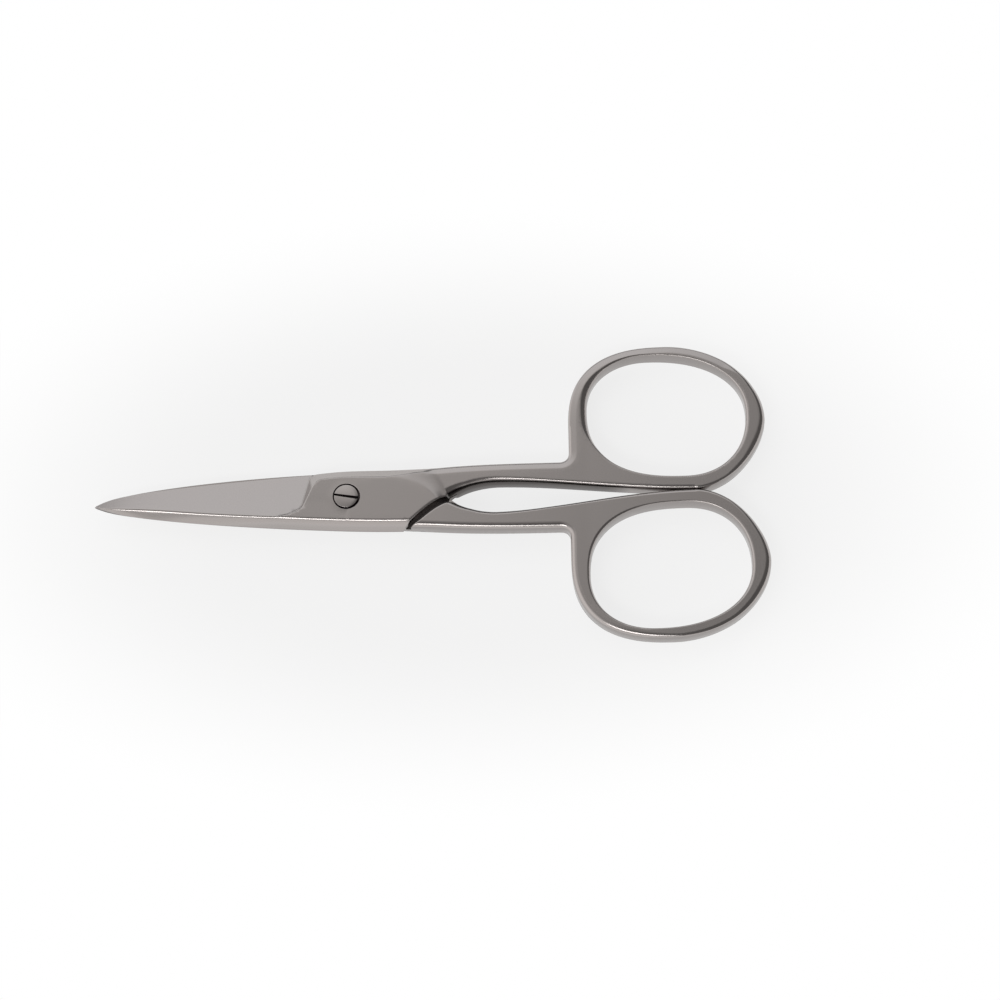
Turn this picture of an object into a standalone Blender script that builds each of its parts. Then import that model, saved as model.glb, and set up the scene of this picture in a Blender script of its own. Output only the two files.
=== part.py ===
"""Small nail scissors, closed and lying flat.

Two forgings cross at a lap joint and turn on one slotted screw. The front half lies on top at
the joint, and the rear half is the same kind of forging turned over about the long axis, with
the small differences of handwork in its blade and shank. The origin is on the screw's axis, at
the level of the rear half's outer face. +X runs to the finger rings, +Y to the front half's
ring, and +Z up through the thickness.
"""

import math
from typing import NamedTuple

import bmesh
import bpy
from mathutils import Vector
from mathutils.geometry import interpolate_bezier

MM = 0.001

# Thickness
JOINT_THICKNESS = 3.57 * MM
SHANK_THICKNESS = 2.85 * MM
RING_THICKNESS = 2.65 * MM
TIP_THICKNESS = 1.40 * MM
LAP_GAP = 0.08 * MM

# Blade
BLADE_LENGTH = 33.8 * MM
SPINE_LEVEL_FROM_PIVOT = 9.0 * MM
EDGE_WIDTH = 4.05 * MM
SPINE_SLOPE_WIDTH = 1.10 * MM
SPINE_SLOPE_AT_TIP = 0.55
SPINE_TOP_SLOPE = 0.75
SPINE_TRIM = 0.04 * MM
EDGE_THICKNESS = 0.15 * MM
GRIND_DEPTH = 0.03 * MM
HEEL_FROM_PIVOT = 5.82 * MM
HEEL_LEAN = 0.23
HEEL_CORNER_LENGTH = 3.9 * MM
HEEL_CORNER_WIDTH = 1.75 * MM
HEEL_CORNER_START = 0.9 * MM
HEEL_SLOPE = 0.85
TIP_LAND = 0.3 * MM
TAPER_FROM_PIVOT = 9.0 * MM

# Joint plate
PLATE_CHAMFER = 1.30 * MM
CHAMFER_LEVEL_TO = 5.5 * MM
CHAMFER_ENDS_AT = 12.0 * MM
SHOULDER_FROM_PIVOT = 7.45 * MM
CROTCH = Vector((13.0 * MM, 0))
SHOULDER_GAP = 0.50 * MM
PLATEAU_FROM_PIVOT = 6.2 * MM
PLATEAU_TURN = math.radians(58)
PLATEAU_SLOPE_LENGTH = 1.6 * MM

# Shank
SHANK_WIDTH = 2.68 * MM
SHANK_NECK = 4.27 * MM
NECK_FROM_PIVOT = 12.6 * MM
EYE_HALF_HEIGHT = 1.98 * MM
EYE_TOP_FROM_CROTCH = 7.0 * MM
ROOT_FILLET = 1.3 * MM

# Finger ring
RING_END_FROM_PIVOT = 55.85 * MM
HOLE_LENGTH = 21.2 * MM
HOLE_WIDTH = 17.6 * MM
WALL_AT_SHANK = 2.5 * MM
WALL_AT_END = 2.55 * MM
WALL_OUTSIDE = 1.3 * MM
WALL_AT_CONTACT = 1.8 * MM
RING_GAP = 0.12 * MM
HOLE_TOP_SHIFT = -2.0 * MM
HOLE_BOTTOM_SHIFT = 2.1 * MM
HOLE_LEFT_SHIFT = 1.15 * MM
CONTACT_SHIFT = 3.8 * MM
SIDE_SHIFT = -1.4 * MM
END_SHIFT = -0.6 * MM
HOLE_FULLNESS = 2.2
HOLE_FULLNESS_AT_SHANK = 2.5
RING_FULLNESS_AT_CONTACT = 1.72
RING_FULLNESS_AT_END = 1.94
RING_FULLNESS_AT_SHANK = 2.55

# Ways in which the outline leaves its corners, and the reach of its curves' handles as shares
# of the span that each one bends over
SHOULDER_START_WAY = Vector((0.72, 0.70))
SHOULDER_START_REACH = 0.40
SHOULDER_END_WAY = Vector((0.95, 0.30))
SHOULDER_END_REACH = 0.25
EYE_START_REACH = Vector((0.295, 0.77))
EYE_RISE_REACH = 0.325
EYE_TOP_REACH = 0.31
CONTACT_REACH = 0.385
ROOT_REACH = 0.6
SHANK_REACH = 0.32
NECK_WAY = Vector((1, 0.076))
NECK_REACH = 0.26
PLATE_REACH = 0.30
PLATE_BACK_REACH = 0.18
HEEL_REACH = 0.15
BOW_AT_NECK = 0.8

# Edge rounding
SHANK_ROUNDING = 0.40 * MM
EYE_ROUNDING = 0.75 * MM
CONTACT_ROUNDING = 0.50 * MM
RING_ROUNDING = 0.45 * MM
HOLE_ROUNDING = 0.35 * MM
INSIDE_ROUNDING = 0.35 * MM
EDGE_BREAK = 0.08 * MM

# Pivot screw
HEAD_RADIUS = 1.60 * MM
HEAD_HEIGHT = 0.85 * MM
HEAD_GAP = 0.20 * MM
SHOULDER_RADIUS = 1.20 * MM
RELIEF_DEPTH = 0.08 * MM
RELIEF_HEIGHT = 0.05 * MM
RUNNING_CLEARANCE = 0.05 * MM
SEAT_CLEARANCE = 0.03 * MM
THREAD_RADIUS = 1.00 * MM
THREAD_DEPTH = 0.20 * MM
THREAD_PITCH = 0.40 * MM
THREAD_CLEARANCE = 0.03 * MM
ENTRY_HEIGHT = 0.12 * MM
ENTRY_WIDENING = 0.05 * MM
TAIL_CHAMFER = 0.05 * MM
SLOT_WIDTH = 0.35 * MM
SLOT_DEPTH = 0.45 * MM
SLOT_ANGLE = math.radians(-10)

# Sampling
BLADE_POINTS = 22
CURVE_POINTS = 10
RING_POINTS = 14
ROUND_POINTS = 64
GRIND_POINTS = 14
THREAD_POINTS = 24
THREAD_ROWS = 6
SPINE_SHARES = (-1, 0, 0.35, 0.7, 1.05, 1.4)

# Steel
FRONT_COLOUR = (0.44, 0.41, 0.395)
REAR_COLOUR = (0.43, 0.40, 0.385)
SCREW_COLOUR = (0.43, 0.405, 0.39)
STEEL_ROUGHNESS = 0.24
SHARP_ANGLE = math.radians(30)

MIDDLE = JOINT_THICKNESS / 2
OVERSHOOT = 2 * MM
ROUND_IN = 1 - math.sqrt(0.5)
ROUND_UP = math.sqrt(0.5)


class Half(NamedTuple):
    """How the two hand-ground halves differ: the spine's width at the pivot, its fullness, which
    is lower for a blunter blade, and the belly in its middle; the edge's fullness; the plate's
    width; and how far the shank is bowed out from the centre line."""

    spine_width: float
    spine_fullness: float
    spine_belly: float
    edge_fullness: float
    plate_width: float
    bow: float


FRONT = Half(spine_width=4.38 * MM, spine_fullness=0.60, spine_belly=0.17 * MM,
             edge_fullness=0.48, plate_width=4.03 * MM, bow=-0.30 * MM)
REAR = Half(spine_width=4.00 * MM, spine_fullness=0.50, spine_belly=0.36 * MM,
            edge_fullness=0.55, plate_width=4.12 * MM, bow=0.33 * MM)


def clamp(value):
    return min(max(value, 0.0), 1.0)


def mix(a, b, share):
    return a + (b - a) * share


# Blade edges

def spine_at(x, half):
    """Distance of the blade's spine from the centre line."""
    along = min((x + BLADE_LENGTH) / BLADE_LENGTH, 1)
    belly = 4 * half.spine_belly * along * (1 - along)
    growth = (half.spine_width * half.spine_fullness - 4 * half.spine_belly) / BLADE_LENGTH
    past = min(max(x, 0), SPINE_LEVEL_FROM_PIVOT)
    rise = growth * past * (1 - past / SPINE_LEVEL_FROM_PIVOT / 2)
    return half.spine_width * along ** half.spine_fullness + belly + rise


def edge_at(x, half):
    """Distance of the cutting edge from the centre line."""
    return EDGE_WIDTH * ((x + BLADE_LENGTH) / BLADE_LENGTH) ** half.edge_fullness


def spine_slope_at(x, half):
    """Width of the slope between the spine and the ridge, seen from above."""
    return min(SPINE_SLOPE_WIDTH, SPINE_SLOPE_AT_TIP * spine_at(x, half))


def half_thickness(x, y):
    """Half of the forging's thickness: full at the joint, less at the shank, ring and tip."""
    joint = JOINT_THICKNESS / 2
    past_plateau = x * math.cos(PLATEAU_TURN) + y * math.sin(PLATEAU_TURN) - PLATEAU_FROM_PIVOT
    to_shank = clamp(past_plateau / PLATEAU_SLOPE_LENGTH)
    to_ring = clamp((x - NECK_FROM_PIVOT) / (hole_left() - NECK_FROM_PIVOT))
    to_tip = clamp((-x - TAPER_FROM_PIVOT) / (BLADE_LENGTH - TAPER_FROM_PIVOT))
    drop = (JOINT_THICKNESS - SHANK_THICKNESS) / 2 * to_shank
    drop += (SHANK_THICKNESS - RING_THICKNESS) / 2 * to_ring
    return joint - drop - (joint - TIP_THICKNESS / 2) * to_tip


# Ring extremes

def hole_right():
    return RING_END_FROM_PIVOT - WALL_AT_END


def hole_left():
    return hole_right() - HOLE_LENGTH


def hole_bottom():
    return RING_GAP / 2 + WALL_AT_CONTACT


def hole_top():
    return hole_bottom() + HOLE_WIDTH


def hole_centre():
    return Vector(((hole_left() + hole_right()) / 2, (hole_bottom() + hole_top()) / 2))


# Curves, each without its last point

def quarter(start, end, first_along_x, fullness):
    """A quarter of a rounded ring from one extreme point to the next."""
    points = []
    for step in range(RING_POINTS):
        angle = math.pi / 2 * step / RING_POINTS
        falling = math.cos(angle) ** (2 / fullness)
        rising = math.sin(angle) ** (2 / fullness)
        if first_along_x:
            points.append(Vector((mix(start.x, end.x, rising), mix(end.y, start.y, falling))))
        else:
            points.append(Vector((mix(end.x, start.x, falling), mix(start.y, end.y, rising))))
    return points


def bezier(start, leave, arrive, end, count):
    curve = interpolate_bezier(*(v.to_3d() for v in (start, leave, arrive, end)), count + 1)
    return [p.to_2d() for p in curve[:-1]]


def blade_curve(start_x, side):
    """Blade points from near the tip to start_x, closest together at the tip."""
    reach = BLADE_LENGTH + start_x
    places = [reach * (step / BLADE_POINTS) ** 2 - BLADE_LENGTH for step in range(1, BLADE_POINTS)]
    return [Vector((x, side(x))) for x in places]


def shoulder_curve(half):
    """The joint plate's end, from the corner on the spine to the crotch between the shanks."""
    corner = Vector((SHOULDER_FROM_PIVOT, -spine_at(SHOULDER_FROM_PIVOT, half)))
    span = (CROTCH - corner).length
    leave = corner + SHOULDER_START_WAY * SHOULDER_START_REACH * span
    arrive = CROTCH - SHOULDER_END_WAY * SHOULDER_END_REACH * span
    return bezier(corner, leave, arrive, CROTCH, CURVE_POINTS) + [CROTCH]


def eye_curve(half):
    """The shank's inner side, from the crotch to the place where the two rings meet."""
    top = Vector((CROTCH.x + EYE_TOP_FROM_CROTCH, EYE_HALF_HEIGHT + half.bow))
    contact = Vector((hole_centre().x + CONTACT_SHIFT, RING_GAP / 2))
    leave = CROTCH + (top - CROTCH) * EYE_START_REACH
    before_top = top - Vector((EYE_TOP_FROM_CROTCH * EYE_RISE_REACH, 0))
    run = contact.x - top.x
    after_top = top + Vector((run * EYE_TOP_REACH, 0))
    before_contact = contact - Vector((run * CONTACT_REACH, 0))
    curve = bezier(CROTCH, leave, before_top, top, CURVE_POINTS)
    return curve + bezier(top, after_top, before_contact, contact, CURVE_POINTS)


def ring_curve():
    """The ring's outside, from the meeting place round to the side that faces the blades."""
    centre = hole_centre()
    contact = Vector((centre.x + CONTACT_SHIFT, RING_GAP / 2))
    end = Vector((RING_END_FROM_PIVOT, centre.y + END_SHIFT))
    outside = Vector((centre.x, hole_top() + WALL_OUTSIDE))
    side = Vector((hole_left() - WALL_AT_SHANK, centre.y + SIDE_SHIFT))
    curve = quarter(contact, end, True, RING_FULLNESS_AT_CONTACT)
    curve += quarter(end, outside, False, RING_FULLNESS_AT_END)
    curve += quarter(outside, side, True, RING_FULLNESS_AT_SHANK)
    return curve + [side]


def neck_of(half):
    """Where the shank's outer side meets the joint plate."""
    return Vector((NECK_FROM_PIVOT, SHANK_NECK + half.bow * BOW_AT_NECK))


def shank_curve(half):
    """The shank's outer side, from the ring's root to the joint plate."""
    corner = Vector((hole_left() - WALL_AT_SHANK, EYE_HALF_HEIGHT + SHANK_WIDTH + half.bow))
    root_side = corner + Vector((0, ROOT_FILLET))
    root = corner - Vector((ROOT_FILLET, 0))
    neck = neck_of(half)
    handle = (root.x - neck.x) * SHANK_REACH
    leave = mix(root_side, corner, ROOT_REACH)
    arrive = mix(root, corner, ROOT_REACH)
    curve = bezier(root_side, leave, arrive, root, CURVE_POINTS // 2)
    return curve + bezier(root, root - Vector((handle, 0)), neck + NECK_WAY * handle, neck, CURVE_POINTS)


def plate_curve(half):
    """The joint plate's side beside the cutting edge, from the shank to the heel."""
    neck = neck_of(half)
    plate = Vector((0, half.plate_width))
    heel = Vector((-HEEL_FROM_PIVOT, edge_at(-HEEL_FROM_PIVOT, half)))
    run = Vector((NECK_FROM_PIVOT, 0))
    leave = neck - NECK_WAY * NECK_FROM_PIVOT * NECK_REACH
    curve = bezier(neck, leave, plate + run * PLATE_REACH, plate, CURVE_POINTS)
    past_plate = plate - run * PLATE_BACK_REACH
    curve += bezier(plate, past_plate, heel + run * HEEL_REACH, heel, CURVE_POINTS // 2)
    return curve + [heel]


def outline(half):
    """The forging's outline seen from above, counter-clockwise from the tip: each point with
    the name of the rim that starts there."""
    named = [(Vector((-BLADE_LENGTH, 0)), "tip")]
    named += [(p, "spine") for p in blade_curve(SHOULDER_FROM_PIVOT, lambda x: -spine_at(x, half))]
    named += [(p, "end") for p in shoulder_curve(half)[:-1]]
    named += [(p, "eye") for p in eye_curve(half)]
    named += [(p, "ring") for p in ring_curve()]
    named += [(p, "shank") for p in shank_curve(half)]
    named += [(p, "plate") for p in plate_curve(half)]
    named += [(p, "edge") for p in blade_curve(-HEEL_FROM_PIVOT, lambda x: edge_at(x, half))[::-1]]
    return named


def rim_of(name, x, half):
    """Size of the outer face's rim, and its roundness. Roundness 0 is a flat slope."""
    if name == "spine":
        return min(EDGE_BREAK, spine_at(x, half) / 4), 0.0
    if name == "edge":
        return min(PLATE_CHAMFER, edge_at(x, half) / 2), 0.0
    if name == "plate":
        past = clamp((x - CHAMFER_LEVEL_TO) / (CHAMFER_ENDS_AT - CHAMFER_LEVEL_TO))
        return mix(PLATE_CHAMFER, SHANK_ROUNDING, past), past
    if name == "eye":
        past = clamp((x - CROTCH.x) / EYE_TOP_FROM_CROTCH - 1)
        return mix(EYE_ROUNDING, CONTACT_ROUNDING, past), 1.0
    sizes = {"tip": EDGE_BREAK, "end": EDGE_BREAK, "ring": RING_ROUNDING, "shank": SHANK_ROUNDING}
    return sizes[name], 1.0


# Loops

def corner_move(before, here, after, size_before, size_after):
    """The move that brings a corner of a counter-clockwise loop in from both of its edges."""
    first = (here - before).normalized()
    second = (after - here).normalized()
    n_first = Vector((-first.y, first.x))
    n_second = Vector((-second.y, second.x))
    turn = n_first.x * n_second.y - n_first.y * n_second.x
    if abs(turn) < 0.3:
        return (n_first + n_second).normalized() * (size_before + size_after) / 2
    return Vector((size_before * n_second.y - size_after * n_first.y,
                   size_after * n_first.x - size_before * n_second.x)) / turn


def inset_loop(points, sizes):
    count = len(points)
    return [here + corner_move(points[i - 1], here, points[(i + 1) % count], sizes[i - 1], sizes[i])
            for i, here in enumerate(points)]


def inset_outline(named, sizes):
    """Insets the outline. On the blade each point moves straight across, as the tip is narrow."""
    moved = inset_loop([point for point, _ in named], sizes)
    straight = {"tip": Vector((1, 0)), "spine": Vector((0, 1)), "edge": Vector((0, -1))}
    for i, (point, name) in enumerate(named):
        if name in straight:
            moved[i] = point + straight[name] * sizes[i]
    return moved


def lift(loop, heights):
    return [Vector((p.x, p.y, z)) for p, z in zip(loop, heights)]


def level(loop, z):
    return lift(loop, [z] * len(loop))


def skin(bm, loops):
    """Quads between successive loops of equal length, and a face on each end."""
    rings = [[bm.verts.new(point) for point in loop] for loop in loops]
    for low, high in zip(rings, rings[1:]):
        for i in range(len(low)):
            bm.faces.new((low[i - 1], low[i], high[i], high[i - 1]))
    bm.faces.new(rings[0])
    bm.faces.new(rings[-1])


def perimeter(grid):
    side = [row[-1] for row in grid[1:-1]]
    back = [row[0] for row in grid[-2:0:-1]]
    return grid[0] + side + grid[-1][::-1] + back


def block_above(rows, top):
    """A solid between a sheet of points and the level plane above it."""
    bm = bmesh.new()
    low = [[bm.verts.new(point) for point in row] for row in rows]
    high = [[bm.verts.new((point.x, point.y, top)) for point in row] for row in rows]
    for sheet in (low, high):
        for near, far in zip(sheet, sheet[1:]):
            for i in range(1, len(near)):
                bm.faces.new((near[i - 1], near[i], far[i], far[i - 1]))
    low_rim = perimeter(low)
    high_rim = perimeter(high)
    for i in range(len(low_rim)):
        bm.faces.new((low_rim[i - 1], low_rim[i], high_rim[i], high_rim[i - 1]))
    return bm


def mesh_object(name, bm, parent=None):
    bmesh.ops.recalc_face_normals(bm, faces=bm.faces)
    mesh = bpy.data.meshes.new(name)
    bm.to_mesh(mesh)
    bm.free()
    obj = bpy.data.objects.new(name, mesh)
    obj.parent = parent
    bpy.context.scene.collection.objects.link(obj)
    return obj


def combine(target, other, operation):
    other.hide_render = True
    other.display_type = "WIRE"
    modifier = target.modifiers.new(other.name, "BOOLEAN")
    modifier.operation = operation
    modifier.solver = "EXACT"
    modifier.object = other


def subtract(target, cutter):
    combine(target, cutter, "DIFFERENCE")


def thin(bm):
    """Scales the thickness about the middle, after cutting the faces where its slope changes."""
    diagonal = Vector((math.cos(PLATEAU_TURN), math.sin(PLATEAU_TURN), 0))
    breaks = [(diagonal * PLATEAU_FROM_PIVOT, diagonal),
              (diagonal * (PLATEAU_FROM_PIVOT + PLATEAU_SLOPE_LENGTH), diagonal)]
    for x in (-TAPER_FROM_PIVOT, NECK_FROM_PIVOT, hole_left()):
        breaks.append((Vector((x, 0, 0)), Vector((1, 0, 0))))
    for place, normal in breaks:
        geometry = bm.verts[:] + bm.edges[:] + bm.faces[:]
        bmesh.ops.bisect_plane(bm, geom=geometry, dist=1e-7, plane_co=place, plane_no=normal)
    for vert in bm.verts:
        share = half_thickness(vert.co.x, vert.co.y) / (JOINT_THICKNESS / 2)
        vert.co.z = MIDDLE + (vert.co.z - MIDDLE) * share
    bmesh.ops.triangulate(bm, faces=bm.faces)


# Shapes of a half and its cutters

def blank(half):
    """The forging before it is cut: its outline, with rims on both faces."""
    named = outline(half)
    rims = [rim_of(name, point.x, half) for point, name in named]
    outside = [size for size, _ in rims]
    inside = [min(INSIDE_ROUNDING, size) for size in outside]
    wall = [JOINT_THICKNESS - size for size in outside]
    half_in = [size * mix(0.5, ROUND_IN, roundness) for size, roundness in rims]
    half_up = [low + size * mix(0.5, ROUND_UP, roundness) for low, (size, roundness) in zip(wall, rims)]
    low_in = [ROUND_IN * size for size in inside]
    points = [point for point, _ in named]
    bm = bmesh.new()
    skin(bm, [
        level(inset_outline(named, inside), 0.0),
        lift(inset_outline(named, low_in), low_in),
        lift(points, inside),
        lift(points, wall),
        lift(inset_outline(named, half_in), half_up),
        level(inset_outline(named, outside), JOINT_THICKNESS),
    ])
    thin(bm)
    return bm


def hole_cutter():
    """The finger hole, flared at both faces so that it leaves rounded rims."""
    centre = hole_centre()
    bottom = Vector((centre.x + HOLE_BOTTOM_SHIFT, hole_bottom()))
    right = Vector((hole_right(), centre.y))
    top = Vector((centre.x + HOLE_TOP_SHIFT, hole_top()))
    left = Vector((hole_left(), centre.y + HOLE_LEFT_SHIFT))
    points = quarter(bottom, right, True, HOLE_FULLNESS)
    points += quarter(right, top, False, HOLE_FULLNESS)
    points += quarter(top, left, True, HOLE_FULLNESS)
    points += quarter(left, bottom, False, HOLE_FULLNESS_AT_SHANK)
    face = (JOINT_THICKNESS - RING_THICKNESS) / 2
    levels = [(-OVERSHOOT, 1.0), (face, 1.0), (face + ROUND_IN * HOLE_ROUNDING, ROUND_IN),
              (face + HOLE_ROUNDING, 0.0)]
    levels += [(JOINT_THICKNESS - z, share) for z, share in reversed(levels)]
    bm = bmesh.new()
    skin(bm, [level(inset_loop(points, [-HOLE_ROUNDING * share] * len(points)), z)
              for z, share in levels])
    return bm


def lap_cutter(other):
    """What is taken off the inner side, so that the other half's blade and plate fit there."""
    mirrored = [Vector((p.x, -p.y)) for p in shoulder_curve(other)]
    reach = 2 * OVERSHOOT
    past_crotch = mirrored[-1] + (mirrored[-1] - mirrored[-2]).normalized() * reach
    past_corner = mirrored[0] + (mirrored[0] - mirrored[1]).normalized() * reach
    route = [past_crotch] + mirrored[::-1] + [past_corner]
    moved = []
    for i, point in enumerate(route):
        along = (route[min(i + 1, len(route) - 1)] - route[max(i - 1, 0)]).normalized()
        moved.append(point + Vector((along.y, -along.x)) * SHOULDER_GAP)
    low = -EDGE_WIDTH - reach
    left = -BLADE_LENGTH - OVERSHOOT
    corners = [Vector((left, low)), Vector((moved[0].x, low))]
    corners += moved + [Vector((left, moved[-1].y))]
    bm = bmesh.new()
    skin(bm, [level(corners, -OVERSHOOT), level(corners, MIDDLE + LAP_GAP / 2)])
    return bm


def spine_cutter(half):
    """What is taken off the outer face along the spine, from the lap to the ridge."""
    tip = TIP_LAND - BLADE_LENGTH
    along = blade_curve(SHOULDER_FROM_PIVOT, lambda x: 0)
    places = [p.x for p in along if p.x > tip] + [SHOULDER_FROM_PIVOT, SHOULDER_FROM_PIVOT + OVERSHOOT]
    rows = []
    for share in SPINE_SHARES:
        row = []
        for x in [tip - OVERSHOOT, tip] + places:
            blade_x = max(x, tip)
            width = spine_slope_at(blade_x, half)
            climb = half_thickness(blade_x, 0)
            bulge = max(climb - SPINE_TOP_SLOPE * width, 0) * max(share * (1 - share), 0)
            y = SPINE_TRIM + share * width - spine_at(blade_x, half)
            row.append(Vector((x, y, MIDDLE + climb * share + bulge)))
        rows.append(row)
    return block_above(rows, JOINT_THICKNESS + 2 * OVERSHOOT)


def heel_x_at(y):
    """Where the ground face ends, seen from above: a straight line with a round lower corner."""
    into_corner = clamp((-y - HEEL_CORNER_START) / HEEL_CORNER_WIDTH)
    return HEEL_LEAN * y - HEEL_FROM_PIVOT - HEEL_CORNER_LENGTH * (1 - math.sqrt(1 - into_corner ** 2))


def ground_place(x, share, half):
    """A point of the ground face, at a share of the way from behind the ridge to past the edge."""
    blade_x = max(x, TIP_LAND - BLADE_LENGTH)
    rise = half_thickness(blade_x, 0) - GRIND_DEPTH
    ridge = spine_slope_at(blade_x, half) - spine_at(blade_x, half)
    edge = edge_at(blade_x, half)
    slope = (rise - EDGE_THICKNESS) / (edge - ridge)
    y = mix(ridge - OVERSHOOT / 2, edge + OVERSHOOT / 2, share)
    return Vector((x, y, MIDDLE + EDGE_THICKNESS + (edge - y) * slope))


def grinding_cutter(half):
    """What the grinding wheel takes off the blade's outer face, from ridge to cutting edge."""
    top = JOINT_THICKNESS + GRIND_DEPTH
    rows = []
    for j in range(GRIND_POINTS + 1):
        share = j / GRIND_POINTS
        heel = heel_x_at(ground_place(-HEEL_FROM_PIVOT, share, half).y)
        row = [ground_place(-BLADE_LENGTH - OVERSHOOT, share, half)]
        for i in range(GRIND_POINTS + 1):
            x = mix(TIP_LAND - BLADE_LENGTH, heel, i / GRIND_POINTS)
            row.append(ground_place(x, share, half))
        last = row[-1]
        climb = max(top - last.z, GRIND_DEPTH)
        row.append(last + Vector((HEEL_SLOPE * climb, 0, climb)))
        rows.append(row)
    return block_above(rows, top + OVERSHOOT)


def round_loop(radius, z, count):
    angles = [2 * math.pi * i / count for i in range(count)]
    return [Vector((radius * math.cos(a), radius * math.sin(a), z)) for a in angles]


def turned(profile):
    """A solid of revolution about Z. The profile holds radius and height from the bottom up."""
    bm = bmesh.new()
    skin(bm, [round_loop(radius, z, ROUND_POINTS) for radius, z in profile])
    return bm


def thread_loop(z, clearance):
    loop = round_loop(1.0, z, THREAD_POINTS)
    for i, point in enumerate(loop):
        phase = (z / THREAD_PITCH - i / THREAD_POINTS) % 1.0
        radius = THREAD_RADIUS + clearance - THREAD_DEPTH * abs(2 * phase - 1)
        point.xy = point.xy * radius
    return loop


def thread_loops(bottom, top, clearance):
    """Loops of the thread between two heights, at the same heights for the screw and its hole."""
    row = THREAD_PITCH / THREAD_ROWS
    steps = range(math.floor(bottom / row) + 1, math.ceil(top / row))
    return [thread_loop(row * step, clearance) for step in steps]


# Pieces

def steel(name, colour):
    material = bpy.data.materials.new(name)
    material.use_nodes = True
    shader = material.node_tree.nodes["Principled BSDF"]
    shader.inputs["Base Color"].default_value = (*colour, 1)
    shader.inputs["Metallic"].default_value = 1.0
    shader.inputs["Roughness"].default_value = STEEL_ROUGHNESS
    return material


def finish(obj, material):
    obj.data.materials.append(material)
    obj.data.shade_smooth()
    obj.data.set_sharp_from_angle(angle=SHARP_ANGLE)


def half_of(name, half, other, screw_hole):
    """One half: the forging with its two holes, fitted to the other half and ground."""
    body = mesh_object(name, blank(half))
    subtract(body, mesh_object(name + "_finger_hole", hole_cutter(), body))
    subtract(body, screw_hole)
    subtract(body, mesh_object(name + "_lap", lap_cutter(other), body))
    subtract(body, mesh_object(name + "_spine", spine_cutter(half), body))
    subtract(body, mesh_object(name + "_grinding", grinding_cutter(half), body))
    return body


def front_half():
    seat = JOINT_THICKNESS - HEAD_HEIGHT - SEAT_CLEARANCE
    bore = SHOULDER_RADIUS + RUNNING_CLEARANCE
    sink = HEAD_RADIUS + HEAD_GAP
    hole = turned([(bore, -OVERSHOOT), (bore, seat), (sink, seat), (sink, JOINT_THICKNESS + OVERSHOOT)])
    body = half_of("front_half", FRONT, REAR, mesh_object("front_half_bore", hole))
    finish(body, steel("front_steel", FRONT_COLOUR))


def rear_half():
    entry = THREAD_RADIUS + THREAD_CLEARANCE + ENTRY_WIDENING
    lap_face = MIDDLE - LAP_GAP / 2
    loops = [round_loop(entry, z, THREAD_POINTS) for z in (-OVERSHOOT, ENTRY_HEIGHT)]
    loops += thread_loops(ENTRY_HEIGHT, lap_face - 2 * ENTRY_HEIGHT, THREAD_CLEARANCE)
    loops += [round_loop(entry, z, THREAD_POINTS) for z in (lap_face - ENTRY_HEIGHT, 2 * JOINT_THICKNESS)]
    bm = bmesh.new()
    skin(bm, loops)
    body = half_of("rear_half", REAR, FRONT, mesh_object("rear_half_tapping", bm))
    finish(body, steel("rear_steel", REAR_COLOUR))
    body.location.z = JOINT_THICKNESS
    body.rotation_euler.x = math.pi


def pivot_screw():
    seat = JOINT_THICKNESS - HEAD_HEIGHT
    shoulder = MIDDLE - LAP_GAP / 2 + SEAT_CLEARANCE
    neck = THREAD_RADIUS - THREAD_DEPTH - RELIEF_DEPTH
    body = turned([(neck, shoulder - THREAD_PITCH), (neck, shoulder), (SHOULDER_RADIUS, shoulder),
                   (SHOULDER_RADIUS, seat), (HEAD_RADIUS, seat),
                   (HEAD_RADIUS, JOINT_THICKNESS - EDGE_BREAK),
                   (HEAD_RADIUS - EDGE_BREAK, JOINT_THICKNESS)])
    screw = mesh_object("pivot_screw", body)
    top = shoulder - RELIEF_HEIGHT
    loops = [round_loop(THREAD_RADIUS - TAIL_CHAMFER, z, THREAD_POINTS) for z in (0, ENTRY_HEIGHT)]
    loops += thread_loops(ENTRY_HEIGHT, top, 0) + [thread_loop(top, 0)]
    bm = bmesh.new()
    skin(bm, loops)
    combine(screw, mesh_object("pivot_screw_thread", bm, screw), "UNION")
    bm = bmesh.new()
    bmesh.ops.create_cube(bm, size=1)
    bmesh.ops.scale(bm, vec=(2 * HEAD_RADIUS + OVERSHOOT, SLOT_WIDTH, 2 * SLOT_DEPTH), verts=bm.verts)
    slot = mesh_object("pivot_screw_slot", bm, screw)
    slot.location.z = JOINT_THICKNESS
    slot.rotation_euler.z = SLOT_ANGLE
    subtract(screw, slot)
    finish(screw, steel("screw_steel", SCREW_COLOUR))


def main():
    for obj in list(bpy.data.objects):
        bpy.data.objects.remove(obj, do_unlink=True)
    front_half()
    rear_half()
    pivot_screw()


main()
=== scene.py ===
import math
from collections import namedtuple
from functools import reduce

import bmesh
import bpy
import numpy as np
from mathutils import Matrix, Vector
from mathutils.geometry import delaunay_2d_cdt
from mathutils.kdtree import KDTree


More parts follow.
